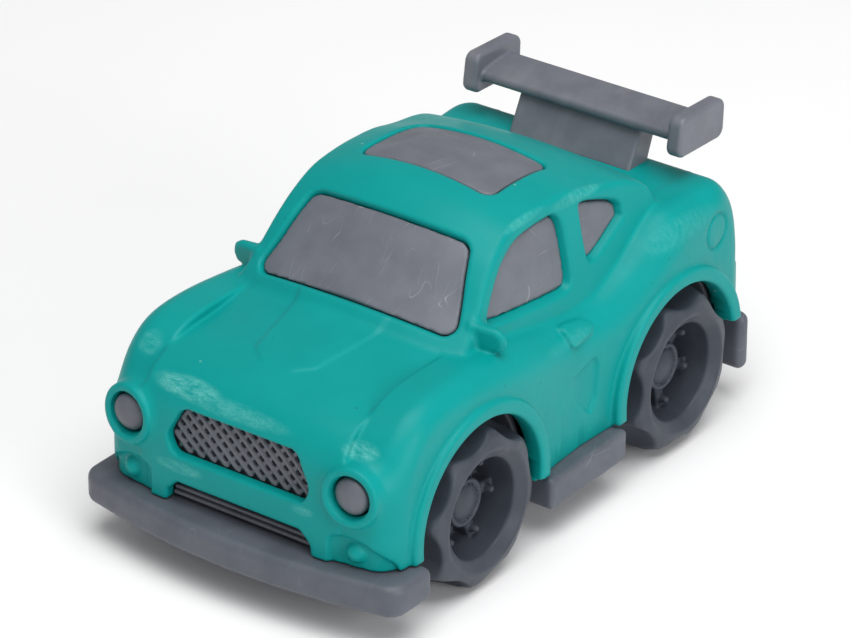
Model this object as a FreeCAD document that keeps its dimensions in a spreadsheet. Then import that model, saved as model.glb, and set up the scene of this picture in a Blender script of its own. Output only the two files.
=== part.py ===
"""Pull-back toy car: a hollow body on a chassis pan, four wheels on two steel axles and a
clockwork motor on the rear axle.

Frame: millimetres, +Z up, the ground at z = 0, the nose towards -Y and the car's left side
towards +X.  The origin lies on the ground under the middle of the car.
"""
import FreeCAD, Part
import math
import os
import Sketcher
from FreeCAD import Placement, Rotation, Vector

DIMENSIONS = {
    # wheels and axles
    "front_axle_y": -27.4,
    "rear_axle_y": 32.1,
    "axle_height": 15.2,
    "axle_radius": 1.0,
    "axle_half_length": 25.8,
    "running_clearance": 0.05,
    "wheel_radius": 15.2,
    "wheel_face_x": 32.9,
    "wheel_width": 14.1,
    "tread_pockets": 8,
    "pocket_radius": 7.0,
    "pocket_depth": 1.7,
    "wheel_lugs": 6,
    # body
    "wall": 2.2,
    "body_half_width": 31.0,
    "body_base": 12.4,
    "front_base": 13.3,
    "rear_base": 17.8,
    "arch_radius": 16.8,
    "arch_lip": 3.0,
    "arch_lip_face": 31.9,
    "pane_recess": 1.1,
    "pane_clearance": 0.15,
    "lamp_x": 23.9,
    "lamp_ring_y": -54.4,
    "lamp_z": 27.2,
    "lamp_ring_radius": 5.6,
    "lamp_hole_radius": 3.8,
    "lamp_dome_radius": 3.5,
    "fog_lamp_z": 16.2,
    "fog_lamp_radius": 2.0,
    "grille_pitch": 2.6,
    "grille_bar": 1.0,
    # chassis
    "floor_bottom": 5.5,
    "floor_thickness": 2.2,
    "pan_half_width": 16.5,
    "pan_front_y": -52.0,
    "pan_rear_y": 53.0,
    "bumper_half_width": 34.0,
    "bumper_front_y": -59.0,
    "bumper_corner_y": -54.6,
    "bumper_back_y": -44.5,
    "bumper_bottom": 7.0,
    "bumper_top": 13.0,
    "bumper_round": 1.5,
    "rear_bumper_y": 59.0,
    "rear_bumper_corner_y": 56.0,
    "rear_bumper_inner_y": 52.0,
    "rear_bumper_half_width": 31.5,
    "rear_bumper_bottom": 6.0,
    "rear_bumper_top": 17.5,
    "sill_outer_x": 32.8,
    "sill_inner_x": 25.5,
    "sill_front_y": -8.0,
    "sill_rear_y": 13.6,
    "sill_bottom": 6.4,
    "boss_x": 13.0,
    "front_boss_y": -41.2,
    "rear_boss_y": 47.0,
    "boss_radius": 3.4,
    "boss_top": 9.6,
    "screw_radius": 1.1,
    "screw_head_radius": 2.2,
    "screw_head_height": 1.6,
    "screw_length": 8.6,
    "bearing_x": 12.0,
    "bearing_width": 3.0,
    "bearing_length": 6.0,
    "bearing_top": 18.6,
    "tub_radius": 17.0,
    "tub_wall": 1.2,
    "tub_inner_x": 16.3,
    "tub_outer_x": 26.4,
    "tub_base": 8.0,
    # spoiler
    "deck_z": 46.0,
    "pedestal_half_width": 13.2,
    "blade_half_width": 21.0,
    "plate_thickness": 2.9,
    "spoiler_screw_x": 6.0,
    "spoiler_screw_y": 44.4,
    # clockwork motor
    "module": 0.5,
    "axle_teeth": 10,
    "compound_teeth": 26,
    "pinion_teeth": 10,
    "spring_teeth": 32,
    "winding_teeth": 14,
    "shaft_spacing": 17.0,
    "spring_axis_z": 18.9,
    "winding_spacing": 7.3,
    "case_left_x": -7.7,
    "case_width": 15.4,
    "case_wall": 1.4,
    "case_front_y": 5.1,
    "case_rear_y": 37.1,
    "case_bottom": 6.9,
    "case_top": 30.6,
    "corner_post_radius": 2.0,
    "pin_radius": 0.8,
    "arbor_radius": 1.2,
    "gear_backlash": 0.12,
    "spring_strip": 0.25,
    "spring_turns": 6,
    "spring_inner_radius": 2.5,
    "spring_outer_radius": 7.6,
    "spring_width": 5.6,
    "ear_length": 5.0,
    "ear_width": 8.0,
    "ear_thickness": 2.0,
}

doc = FreeCAD.newDocument("pull_back_car")
sheet = doc.addObject("Spreadsheet::Sheet", "dims")
for row, (alias, number) in enumerate(DIMENSIONS.items(), start=1):
    sheet.set("A%d" % row, alias)
    sheet.set("B%d" % row, str(number))
    sheet.setAlias("B%d" % row, alias)
doc.recompute()

NODES = []
ALONG_X = Rotation(Vector(0, 1, 0), 90)
UPRIGHT = Rotation()


def dim(alias):
    """A driving dimension, read from the sheet."""
    return float(sheet.get(alias))


def bound(formula):
    """A formula over the sheet's aliases, as FreeCAD's expression engine wants it."""
    words = []
    for word in str(formula).replace("(", " ( ").replace(")", " ) ").split():
        words.append("dims." + word if word in DIMENSIONS else word)
    return " ".join(words)


def value(formula):
    """What a formula over the sheet's aliases comes to."""
    result = sheet.evalExpression(bound(formula))
    return float(getattr(result, "Value", result))


def node(item, label):
    """Register a finished sub-part under its own name."""
    item.Label = label
    NODES.append(item)
    return item


# ---------------------------------------------------------------- primitives and booleans
def primitive(kind, name, sizes, place, turn=UPRIGHT):
    """A Part primitive with its sizes and its place bound to the sheet."""
    item = doc.addObject("Part::" + kind, name)
    item.Placement = Placement(Vector(), turn)
    for prop, formula in sizes.items():
        item.setExpression(prop, bound(formula))
    for axis, formula in zip("xyz", place):
        item.setExpression("Placement.Base." + axis, bound(formula))
    return item


def rod(name, radius, length, place, turn=UPRIGHT):
    return primitive("Cylinder", name, {"Radius": radius, "Height": length}, place, turn)


def fused(name, items):
    item = doc.addObject("Part::MultiFuse", name)
    item.Shapes = items
    return item


def cut(name, base, tools):
    item = doc.addObject("Part::Cut", name)
    item.Base = base
    item.Tool = tools[0] if len(tools) == 1 else fused(name + "_tools", tools)
    return item


def group(name, items):
    item = doc.addObject("Part::Compound", name)
    item.Links = items
    return item


def feature(name, shape):
    """A sub-part whose shape comes from Part's own functions."""
    item = doc.addObject("Part::Feature", name)
    item.Shape = shape
    return node(item, name)


# ---------------------------------------------------------------- PartDesign helpers
def new_body(name):
    return doc.addObject("PartDesign::Body", name)


def origin_of(body, role):
    return next(item for item in body.Origin.OriginFeatures if item.Role == role)


def sketch_on(body, role, name, offset="0"):
    sketch = body.newObject("Sketcher::SketchObject", name)
    sketch.AttachmentSupport = [(origin_of(body, role), "")]
    sketch.MapMode = "FlatFace"
    sketch.setExpression("AttachmentOffset.Base.z", bound(offset))
    return sketch


def pin_point(sketch, edge, end, formulas):
    """Hold one end of an edge at two distances from the sketch's origin."""
    for kind, formula in zip(("DistanceX", "DistanceY"), formulas):
        number = value(formula)
        index = sketch.addConstraint(Sketcher.Constraint(kind, -1, 1, edge, end, number))
        sketch.setExpression("Constraints[%d]" % index, bound(formula))


def outline(sketch, corners):
    """A closed outline of straight edges through corners given as formulas."""
    spots = [Vector(value(x), value(y), 0) for x, y in corners]
    first = sketch.GeometryCount
    count = len(spots)
    for index, spot in enumerate(spots):
        sketch.addGeometry(Part.LineSegment(spot, spots[(index + 1) % count]), False)
    for index in range(count):
        after = first + (index + 1) % count
        sketch.addConstraint(Sketcher.Constraint("Coincident", first + index, 2, after, 1))
    for index, corner in enumerate(corners):
        pin_point(sketch, first + index, 1, corner)


def circle(sketch, x, y, radius):
    """A circle with its centre and radius bound to the sheet."""
    shape = Part.Circle(Vector(value(x), value(y), 0), Vector(0, 0, 1), value(radius))
    edge = sketch.addGeometry(shape, False)
    pin_point(sketch, edge, 3, (x, y))
    index = sketch.addConstraint(Sketcher.Constraint("Radius", edge, value(radius)))
    sketch.setExpression("Constraints[%d]" % index, bound(radius))


def extrude(body, kind, sketch, name, length, both_ways=False):
    """A Pad or Pocket of a sketch; both_ways is symmetric about the sketch."""
    item = body.newObject("PartDesign::" + kind, name)
    item.Profile = sketch
    item.setExpression("Length", bound(length))
    item.Midplane = both_ways
    return item


def around(body, original, name, axis_role, count):
    """A polar pattern about one of the body's own axes, and the body's new tip."""
    pattern = body.newObject("PartDesign::PolarPattern", name)
    pattern.Originals = [original]
    pattern.Axis = (origin_of(body, axis_role), [""])
    pattern.Angle = 360
    pattern.setExpression("Occurrences", bound(count))
    body.Tip = pattern
    return pattern


# ---------------------------------------------------------------- body form
# Stations of the lower body: y, half width factor, shoulder height, centre height, shoulder
LOWER_STATIONS = (
    (-54.0, 0.870, 27.0, 30.0, 4.0),
    (-52.8, 0.935, 29.6, 33.5, 4.5),
    (-49.5, 0.985, 34.5, 37.2, 5.0),
    (-46.0, 0.998, 37.6, 38.9, 5.0),
    (-40.0, 1.0, 40.0, 40.3, 5.0),
    (-30.0, 1.0, 40.4, 41.4, 5.5),
    (-18.0, 0.99, 39.8, 42.0, 6.0),
    (-6.0, 0.97, 38.2, 42.0, 6.0),
    (6.0, 0.96, 36.8, 42.0, 6.0),
    (18.0, 0.975, 38.8, 43.0, 6.5),
    (30.0, 0.99, 44.6, 45.2, 7.0),
    (40.0, 0.99, 45.4, 45.7, 7.0),
    (48.0, 0.975, 45.0, 45.3, 6.0),
    (52.6, 0.96, 41.0, 41.5, 5.0),
    (55.2, 0.92, 33.0, 34.0, 4.5),
)
# Stations of the cabin: y, half width at the rail, rail height, centre height, rail radius
CABIN_STATIONS = (
    (-26.2, 24.3, 38.8, 42.3, 2.0),
    (-22.3, 24.0, 41.6, 46.0, 2.0),
    (-18.4, 23.4, 45.4, 49.8, 2.0),
    (-14.9, 22.5, 49.6, 53.6, 2.0),
    (-11.2, 21.8, 52.9, 56.9, 2.0),
    (-6.4, 21.2, 55.8, 59.4, 2.0),
    (-1.0, 21.0, 56.8, 60.3, 2.0),
    (5.0, 21.0, 57.0, 60.4, 2.0),
    (12.5, 21.4, 56.3, 59.6, 2.0),
    (20.7, 22.1, 54.2, 57.2, 2.0),
    (29.4, 23.0, 51.2, 53.2, 2.0),
    (33.0, 23.8, 48.0, 50.6, 2.0),
)
LOWER_CENTRE = Vector(0, 0.6, 12.0)
LOWER_REACH = Vector(31.0, 54.6, 28.0)
CABIN_CENTRE = Vector(0, 3.4, 30.0)
CABIN_REACH = Vector(24.0, 29.6, 30.4)
CABIN_FOOT_Z = 34.0
SIDE_LEAN = 0.2


def section(y, foot, half, base, rail, centre, radius):
    """Closed section across the car: flat base, sides, rounded shoulders and a crowned top."""
    lean = math.sqrt(0.5)
    left = Vector(half, y, rail - radius)
    left_top = Vector(half - radius, y, rail)
    left_mid = Vector(half - radius + radius * lean, y, rail - radius + radius * lean)
    mirror = [Vector(-spot.x, spot.y, spot.z) for spot in (left, left_mid, left_top)]
    edges = [
        Part.LineSegment(Vector(-foot, y, base), Vector(foot, y, base)),
        Part.LineSegment(Vector(foot, y, base), left),
        Part.Arc(left, left_mid, left_top),
        Part.Arc(left_top, Vector(0, y, centre), mirror[2]),
        Part.Arc(mirror[2], mirror[1], mirror[0]),
        Part.LineSegment(mirror[0], Vector(-foot, y, base)),
    ]
    return Part.Wire([edge.toShape() for edge in edges])


def drawn_in(number, centre, reach, depth):
    """A coordinate moved towards the centre as a surface inset by depth would be."""
    return centre + (number - centre) * (1 - depth / reach)


def lower_form(depth):
    """The lower body's form, inset by depth from the outer surface."""
    wires = []
    for y, factor, shoulder_z, centre_z, shoulder in LOWER_STATIONS:
        half = dim("body_half_width") * factor
        half = drawn_in(half, 0, LOWER_REACH.x, depth)
        height = drawn_in(shoulder_z, LOWER_CENTRE.z, LOWER_REACH.z, depth)
        middle = drawn_in(centre_z, LOWER_CENTRE.z, LOWER_REACH.z, depth)
        place = drawn_in(y, LOWER_CENTRE.y, LOWER_REACH.y, depth)
        base = dim("body_base") - depth
        wires.append(section(place, half, half, base, height, middle, shoulder))
    return Part.makeLoft(wires, True, False)


def cabin_form(depth):
    """The cabin's form, inset by depth from the outer surface."""
    wires = []
    for y, half, rail_z, centre_z, radius in CABIN_STATIONS:
        foot = half + SIDE_LEAN * (rail_z - CABIN_FOOT_Z)
        wires.append(section(
            drawn_in(y, CABIN_CENTRE.y, CABIN_REACH.y, depth),
            drawn_in(foot, 0, CABIN_REACH.x, depth),
            drawn_in(half, 0, CABIN_REACH.x, depth),
            CABIN_FOOT_Z - depth,
            drawn_in(rail_z, CABIN_CENTRE.z, CABIN_REACH.z, depth),
            drawn_in(centre_z, CABIN_CENTRE.z, CABIN_REACH.z, depth),
            radius))
    return Part.makeLoft(wires, True, False)


# ---------------------------------------------------------------- openings
def rounded_prism(corners, radius, direction, inset=0.0):
    """A prism through corners in one plane, corners rounded, drawn in by inset."""
    wire = Part.makePolygon(list(corners) + [corners[0]])
    face = Part.Face(wire)
    if inset:
        face = face.makeOffset2D(-inset)
    solid = face.extrude(direction)
    upright = [edge for edge in solid.Edges
               if len(edge.Vertexes) == 2 and is_along(edge, direction)]
    return solid.makeFillet(radius, upright)


def is_along(edge, direction):
    run = edge.Vertexes[1].Point - edge.Vertexes[0].Point
    return run.Length > 1e-6 and run.cross(direction).Length < 1e-6 * run.Length * direction.Length


def mirrored_corners(half_outline):
    """Corners of an outline symmetric about x = 0, from its left half."""
    other = [Vector(-spot.x, spot.y, spot.z) for spot in reversed(half_outline)]
    return list(half_outline) + other


WINDSCREEN_NORMAL = Vector(0, -1, 1).normalize()


def windscreen_prism(inset=0.0):
    half = [Vector(17.0, -13.4, 54.2), Vector(21.4, -25.0, 42.6)]
    start = [spot - WINDSCREEN_NORMAL * 5.0 for spot in mirrored_corners(half)]
    return rounded_prism(start, 2.4, WINDSCREEN_NORMAL * 14.0, inset)


def roof_prism(inset=0.0):
    half = [Vector(14.6, -2.2, 50), Vector(14.0, 16.4, 50)]
    return rounded_prism(mirrored_corners(half), 3.0, Vector(0, 0, 14), inset)


def door_window_prism(inset=0.0):
    corners = ((-15.0, 43.8), (-12.0, 48.7), (-8.3, 52.0), (-3.6, 54.0), (6.4, 54.2), (8.4, 51.6),
               (8.4, 41.2), (4.8, 40.0), (-13.0, 42.1))
    start = [Vector(-40, y, z) for y, z in corners]
    return rounded_prism(start, 0.9, Vector(80, 0, 0), inset)


def quarter_window_prism(inset=0.0):
    corners = ((13.8, 53.4), (17.0, 53.0), (22.6, 50.9), (24.6, 48.9), (24.0, 46.6), (16.6, 42.9),
               (13.8, 42.7))
    start = [Vector(-40, y, z) for y, z in corners]
    return rounded_prism(start, 0.8, Vector(80, 0, 0), inset)


def grille_prism(inset=0.0):
    half = [Vector(12.0, -62, 31.4), Vector(15.7, -62, 26.0), Vector(14.0, -62, 22.3)]
    return rounded_prism(mirrored_corners(half), 1.8, Vector(0, 14, 0), inset)


def lower_grille_prism(inset=0.0):
    half = [Vector(13.3, -62, 17.3), Vector(15.6, -62, 12.0)]
    return rounded_prism(mirrored_corners(half), 0.8, Vector(0, 14, 0), inset)


def side_disc(radius, x_from, x_to, y):
    return Part.makeCylinder(radius, x_to - x_from, Vector(x_from, y, dim("axle_height")),
                             Vector(1, 0, 0))


def slab(x_low, y_low, z_low, x_high, y_high, z_high):
    corner = Vector(x_low, y_low, z_low)
    return Part.makeBox(x_high - x_low, y_high - y_low, z_high - z_low, corner)


# ---------------------------------------------------------------- body shell and its inserts
def arch_lips():
    """A raised lip round each wheel opening, ending on the bumper or the sill."""
    lips = []
    outer = dim("arch_radius") + dim("arch_lip")
    for y in (dim("front_axle_y"), dim("rear_axle_y")):
        for side in (1, -1):
            x_in, x_out = sorted((side * 27.8, side * dim("arch_lip_face")))
            ring = side_disc(outer, x_in, x_out, y).cut(side_disc(dim("arch_radius"), x_in, x_out, y))
            rims = [edge for edge in ring.Edges
                    if abs(abs(edge.BoundBox.Center.x) - dim("arch_lip_face")) < 1e-3
                    and edge.BoundBox.ZLength > 2 * dim("arch_radius") + 1]
            ring = ring.makeFillet(1.2, rims)
            lips.append(ring.common(slab(-60, -80, dim("front_base"), 60, 80, 90)))
    return lips


def door_fittings():
    """Door mirrors at the pillars' feet, and a raised handle on each door."""
    fittings = []
    for side in (1, -1):
        fittings.append(Part.makeSphere(2.6, Vector(side * 26.2, -17.4, 42.6)))
        x_low, x_high = sorted((side * 26.5, side * 29.9))
        handle = slab(x_low, 0.5, 32.8, x_high, 8.5, 36.2)
        handle = handle.makeFillet(1.4, [edge for edge in handle.Edges
                                         if is_along(edge, Vector(1, 0, 0))])
        fittings.append(handle)
    return fittings


def filler_rings():
    """Tools for the shallow ring groove of a filler cap on each rear fender."""
    rings = []
    for side in (1, -1):
        x_low, x_high = sorted((side * 29.1, side * 33.0))
        tools = [Part.makeCylinder(radius, x_high - x_low, Vector(x_low, 47.0, 36.0), Vector(1, 0, 0))
                 for radius in (3.5, 3.1)]
        rings.append(tools[0].cut(tools[1]))
    return rings


def lamp_rings():
    rings = []
    for side in (1, -1):
        base = Vector(side * dim("lamp_x"), dim("lamp_ring_y"), dim("lamp_z"))
        rings.append(Part.makeCylinder(dim("lamp_ring_radius"), 5.0, base, Vector(0, 1, 0)))
        fog = Vector(side * dim("lamp_x"), -52.6, dim("fog_lamp_z"))
        rings.append(Part.makeSphere(dim("fog_lamp_radius"), fog))
    return rings


def lamp_holes(radius, y_from, y_to):
    return [Part.makeCylinder(radius, y_to - y_from,
                              Vector(side * dim("lamp_x"), y_from, dim("lamp_z")), Vector(0, 1, 0))
            for side in (1, -1)]


def body_columns():
    """Screw columns that hang from the bonnet and the deck down to the chassis bosses."""
    columns = []
    for y, top in ((dim("front_boss_y"), 35.0), (dim("rear_boss_y"), 43.5)):
        for x in (dim("boss_x"), -dim("boss_x")):
            base = Vector(x, y, dim("boss_top"))
            column = Part.makeCylinder(3.0, top - base.z, base)
            pilot = Part.makeCylinder(dim("screw_radius"), dim("screw_length"), base)
            columns.append(column.cut(pilot))
    return columns


def spoiler_holes():
    return [Part.makeCylinder(1.9, 8.0, Vector(side * dim("spoiler_screw_x"),
                                               dim("spoiler_screw_y"), 40.0))
            for side in (1, -1)]


def make_body_shell():
    """One hollow moulding: bonnet, cabin, deck, fenders and tail."""
    skin = lower_form(0).fuse([cabin_form(0)])
    hollow = lower_form(dim("wall")).fuse([cabin_form(dim("wall"))])
    shell = skin.cut(hollow)
    shell = shell.fuse(arch_lips() + lamp_rings() + door_fittings())
    shell = shell.cut(lower_form(dim("wall")))
    openings = [windscreen_prism(), roof_prism(), door_window_prism(), quarter_window_prism(),
                grille_prism(), lower_grille_prism()]
    openings += lamp_holes(dim("lamp_hole_radius"), -60, -45)
    openings += [side_disc(dim("arch_radius"), -40, 40, y)
                 for y in (dim("front_axle_y"), dim("rear_axle_y"))]
    openings += [slab(-40, -70, 0, 40, -42, dim("front_base")),
                 slab(-40, 46, 0, 40, 70, dim("rear_base"))]
    shell = shell.cut(openings + filler_rings())
    shell = shell.fuse(body_columns())
    shell = shell.cut(spoiler_holes())
    feature("body_shell", largest_solid(shell.removeSplitter()))


def largest_solid(shape):
    return max(shape.Solids, key=lambda solid: solid.Volume)


def make_window_insert():
    """One moulding behind the cabin's openings, with a raised pane in each of them."""
    outside = cabin_form(dim("wall") + dim("pane_clearance"))
    inside = cabin_form(dim("wall") + dim("pane_clearance") + 1.3)
    above = slab(-60, -80, 39.5, 60, 32.0, 90)
    skin = outside.cut(inside).common(above)
    skin = skin.cut(lower_form(0).common(slab(-60, -80, 0, 60, -18, 43)))
    gap = dim("pane_clearance")
    panes = [windscreen_prism(gap), roof_prism(gap), door_window_prism(gap),
             quarter_window_prism(gap)]
    plug = cabin_form(dim("pane_recess")).cut(inside).common(above)
    raised = [plug.common(pane) for pane in panes]
    feature("window_insert", largest_solid(skin.fuse(raised).removeSplitter()))


def grille_bars():
    """Two layers of diagonal bars, one leaning each way."""
    reach = 40.0
    half_bar = dim("grille_bar") / 2
    bars = []
    for lean, y_low, y_high in ((45, -52.9, -52.1), (-45, -52.3, -51.0)):
        steps = int(reach / dim("grille_pitch"))
        for step in range(-steps, steps + 1):
            bar = slab(-half_bar, y_low, -reach, half_bar, y_high, reach)
            bar.rotate(Vector(), Vector(0, 1, 0), lean)
            bar.translate(Vector(step * dim("grille_pitch"), 0, 27.0))
            bars.append(bar)
    return bars


def make_grille_insert():
    """Back plate with the mesh grille, the lower grille's ribs and the two lamp domes."""
    room = lower_form(dim("wall") + 0.2)
    gap = dim("pane_clearance")
    plate = slab(-28, -51.4, 14.2, 28, -49.8, 33.4)
    pieces = []
    window = grille_prism(gap)
    pieces += [bar.common(window) for bar in grille_bars() if bar.distToShape(window)[0] < 1e-6]
    floor = lower_grille_prism(gap).common(slab(-40, -52.4, 13.6, 40, -49.9, 19.0))
    pieces.append(floor)
    for height in (14.3, 15.5, 16.7):
        rib = lower_grille_prism(gap).common(slab(-40, -53.0, height - 0.35, 40, -52.0, height + 0.35))
        pieces.append(rib)
    for side in (1, -1):
        centre = Vector(side * dim("lamp_x"), -49.0, dim("lamp_z"))
        sphere = Part.makeSphere(5.4, centre)
        barrel = Part.makeCylinder(dim("lamp_dome_radius"), 8.0, centre - Vector(0, 7.5, 0),
                                   Vector(0, 1, 0))
        pieces.append(sphere.common(barrel))
    columns = [Part.makeCylinder(3.4, 40, Vector(side * dim("boss_x"), dim("front_boss_y"), 5))
               for side in (1, -1)]
    base = plate.common(room)
    insert = base.fuse(pieces).cut(columns)
    feature("grille_insert", largest_solid(insert.removeSplitter()))


# ---------------------------------------------------------------- chassis
def bowed_slab(half_width, end_y, middle_y, inner_y, z_low, z_high, round_size):
    """A bumper: straight inner side, bowed outer side, rounded ends and edges."""
    corner = 4.0
    sign = 1 if middle_y > inner_y else -1
    right = Vector(half_width, end_y, z_low)
    left = Vector(-half_width, end_y, z_low)
    edges = [
        Part.LineSegment(Vector(-half_width, inner_y, z_low), Vector(half_width, inner_y, z_low)),
        Part.LineSegment(Vector(half_width, inner_y, z_low), right),
        Part.Arc(right, Vector(0, middle_y, z_low), left),
        Part.LineSegment(left, Vector(-half_width, inner_y, z_low)),
    ]
    face = Part.Face(Part.Wire([edge.toShape() for edge in edges]))
    solid = face.extrude(Vector(0, 0, z_high - z_low))
    ends = [edge for edge in solid.Edges if is_along(edge, Vector(0, 0, 1))
            and sign * (edge.BoundBox.Center.y - inner_y) > 1]
    solid = solid.makeFillet(corner, ends)
    rims = [edge for edge in solid.Edges
            if edge.BoundBox.ZLength < 1e-3
            and sign * (edge.BoundBox.Center.y - inner_y) > 1e-3]
    return solid.makeFillet(round_size, rims)


def rounded_block(x_low, y_low, z_low, x_high, y_high, z_high, radius):
    """A block with its upright edges and its upper rim rounded."""
    solid = slab(x_low, y_low, z_low, x_high, y_high, z_high)
    solid = solid.makeFillet(radius, [edge for edge in solid.Edges if is_along(edge, Vector(0, 0, 1))])
    rims = [edge for edge in solid.Edges if edge.BoundBox.ZMin > z_high - 1e-3]
    return solid.makeFillet(radius * 0.9, rims)


def screw_places():
    return [(x, y) for y in (dim("front_boss_y"), dim("rear_boss_y"))
            for x in (dim("boss_x"), -dim("boss_x"))]


def mount_places():
    """Where the motor's two ears are screwed down."""
    reach = dim("ear_length") / 2
    return [(0.0, dim("case_front_y") - reach), (0.0, dim("case_rear_y") + reach)]


def wheel_tubs():
    """A half-round tub over each wheel, closed on its inner side, so dirt stays out."""
    tubs = []
    outer = dim("tub_radius") + dim("tub_wall")
    for y in (dim("front_axle_y"), dim("rear_axle_y")):
        for side in (1, -1):
            x_low, x_high = sorted((side * dim("tub_inner_x"), side * dim("tub_outer_x")))
            room_low, room_high = sorted((side * (dim("tub_inner_x") + dim("tub_wall")), side * 40))
            tub = side_disc(outer, x_low, x_high, y)
            tub = tub.cut([side_disc(dim("tub_radius"), room_low, room_high, y),
                           side_disc(3.0, x_low - 1, x_high + 1, y)])
            tubs.append(tub.common(slab(-60, -80, dim("tub_base"), 60, 80, 90)))
    return tubs


def make_chassis():
    """Pan, bumpers, sills and wheel tubs in one moulding, with posts for the front axle."""
    low = dim("floor_bottom")
    high = low + dim("floor_thickness")
    pan_x = dim("pan_half_width")
    middle_x = dim("sill_inner_x") + 1.0
    pieces = [
        slab(-pan_x, dim("pan_front_y"), low, pan_x, dim("pan_rear_y"), high),
        slab(-middle_x, dim("sill_front_y"), low, middle_x, dim("sill_rear_y"), high),
        bowed_slab(dim("bumper_half_width"), dim("bumper_corner_y"), dim("bumper_front_y"),
                   dim("bumper_back_y"), dim("bumper_bottom"), dim("bumper_top"),
                   dim("bumper_round")),
        bowed_slab(dim("rear_bumper_half_width"), dim("rear_bumper_corner_y"),
                   dim("rear_bumper_y"), dim("rear_bumper_inner_y"), dim("rear_bumper_bottom"),
                   dim("rear_bumper_top"), dim("bumper_round")),
    ]
    for side in (1, -1):
        x_low, x_high = sorted((side * dim("sill_inner_x"), side * dim("sill_outer_x")))
        pieces.append(rounded_block(x_low, dim("sill_front_y"), dim("sill_bottom"), x_high,
                                    dim("sill_rear_y"), dim("body_base"), 1.6))
        x_low, x_high = sorted((side * dim("bearing_x"),
                                side * (dim("bearing_x") + dim("bearing_width"))))
        reach = dim("bearing_length") / 2
        pieces.append(slab(x_low, dim("front_axle_y") - reach, low, x_high,
                           dim("front_axle_y") + reach, dim("bearing_top")))
    for x, y in screw_places():
        pieces.append(Part.makeCylinder(dim("boss_radius"), dim("boss_top") - low, Vector(x, y, low)))
    solid = pieces[0].fuse(pieces[1:] + wheel_tubs())
    gap = 0.3
    holes = [
        side_disc(dim("axle_radius") + dim("running_clearance"), -30, 30, dim("front_axle_y")),
        slab(-dim("case_width") / 2 - gap, dim("case_front_y") - gap, 0,
             dim("case_width") / 2 + gap, dim("case_rear_y") + gap, high + 1),
    ]
    for x, y in screw_places():
        holes.append(Part.makeCylinder(dim("screw_radius") + 0.2, 20, Vector(x, y, 0)))
        head = dim("screw_head_radius") + 0.2
        holes.append(Part.makeCylinder(head, high + 0.4, Vector(x, y, 0)))
    for x, y in mount_places():
        holes.append(Part.makeCylinder(dim("screw_radius") - 0.1, 20, Vector(x, y, 0)))
    for side in (1, -1):
        x_low, x_high = sorted((side * 20.0, side * 40.0))
        holes.append(side_disc(dim("wheel_radius") + 1.2, x_low, x_high, dim("front_axle_y")))
        holes.append(side_disc(dim("wheel_radius") + 1.2, x_low, x_high, dim("rear_axle_y")))
    feature("chassis", solid.cut(holes).removeSplitter())


def screw(name, x, y, seat_z, length, points_up, radius="screw_radius"):
    """A self-tapping screw: a pan head and a plain shank."""
    head_height = dim("screw_head_height")
    sign = 1 if points_up else -1
    head_low = "%s" % (seat_z - head_height if points_up else seat_z)
    shank_low = "%s" % (seat_z if points_up else seat_z - length)
    head = rod(name + "_head", "screw_head_radius", "screw_head_height", (x, y, head_low))
    shank = rod(name + "_shank", radius, length, (x, y, shank_low))
    return fused(name, [head, shank])


def make_chassis_screws():
    seat = dim("floor_bottom") + dim("floor_thickness") + 0.4
    reach = dim("boss_top") - seat + dim("screw_length") - 0.6
    items = [screw("chassis_screw_%d" % index, x, y, seat, reach, True)
             for index, (x, y) in enumerate(screw_places(), start=1)]
    node(group("chassis_screw_group", items), "chassis_screws")


def make_spoiler_screws():
    items = [screw("spoiler_screw_%d" % (index + 1), side * dim("spoiler_screw_x"),
                   dim("spoiler_screw_y"), 40.6, 7.0, True, "pin_radius")
             for index, side in enumerate((1, -1))]
    node(group("spoiler_screw_group", items), "spoiler_screws")


# ---------------------------------------------------------------- spoiler
def make_spoiler():
    """Pedestal, blade and end plates in one moulding, with two screw posts under it."""
    body = new_body("spoiler_body")
    pedestal = sketch_on(body, "YZ_Plane", "pedestal_sketch")
    outline(pedestal, (("41.2", "deck_z"), ("47.2", "deck_z"), ("50.6", "54"), ("45.4", "54")))
    extrude(body, "Pad", pedestal, "pedestal_pad", "pedestal_half_width * 2", True)
    blade = sketch_on(body, "YZ_Plane", "blade_sketch")
    outline(blade, (("43.8", "54.2"), ("44.6", "55.2"), ("52.6", "55.9"), ("52.8", "53.6"),
                    ("50.0", "53.0"), ("44.4", "52.7")))
    extrude(body, "Pad", blade, "blade_pad", "blade_half_width * 2", True)
    plate = sketch_on(body, "YZ_Plane", "plate_sketch", "blade_half_width - 0.2")
    outline(plate, (("41.4", "52.4"), ("42.4", "51.1"), ("54.8", "50.7"), ("55.9", "52.0"),
                    ("56.0", "56.8"), ("55.0", "58.0"), ("43.6", "58.5"), ("42.3", "57.4")))
    plate_pad = extrude(body, "Pad", plate, "plate_pad", "plate_thickness")
    mirrored = body.newObject("PartDesign::Mirrored", "plate_mirror")
    mirrored.Originals = [plate_pad]
    mirrored.MirrorPlane = (origin_of(body, "YZ_Plane"), [""])
    body.Tip = mirrored
    posts = sketch_on(body, "XY_Plane", "post_sketch", "40.6")
    for side in ("", "-1 * "):
        circle(posts, side + "spoiler_screw_x", "spoiler_screw_y", "1.8")
    extrude(body, "Pad", posts, "post_pad", "6")
    pilots = sketch_on(body, "XY_Plane", "pilot_sketch", "40.6")
    for side in ("", "-1 * "):
        circle(pilots, side + "spoiler_screw_x", "spoiler_screw_y", "pin_radius")
    pilot = extrude(body, "Pocket", pilots, "pilot_pocket", "7")
    pilot.Reversed = True
    node(body, "spoiler")


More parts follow.
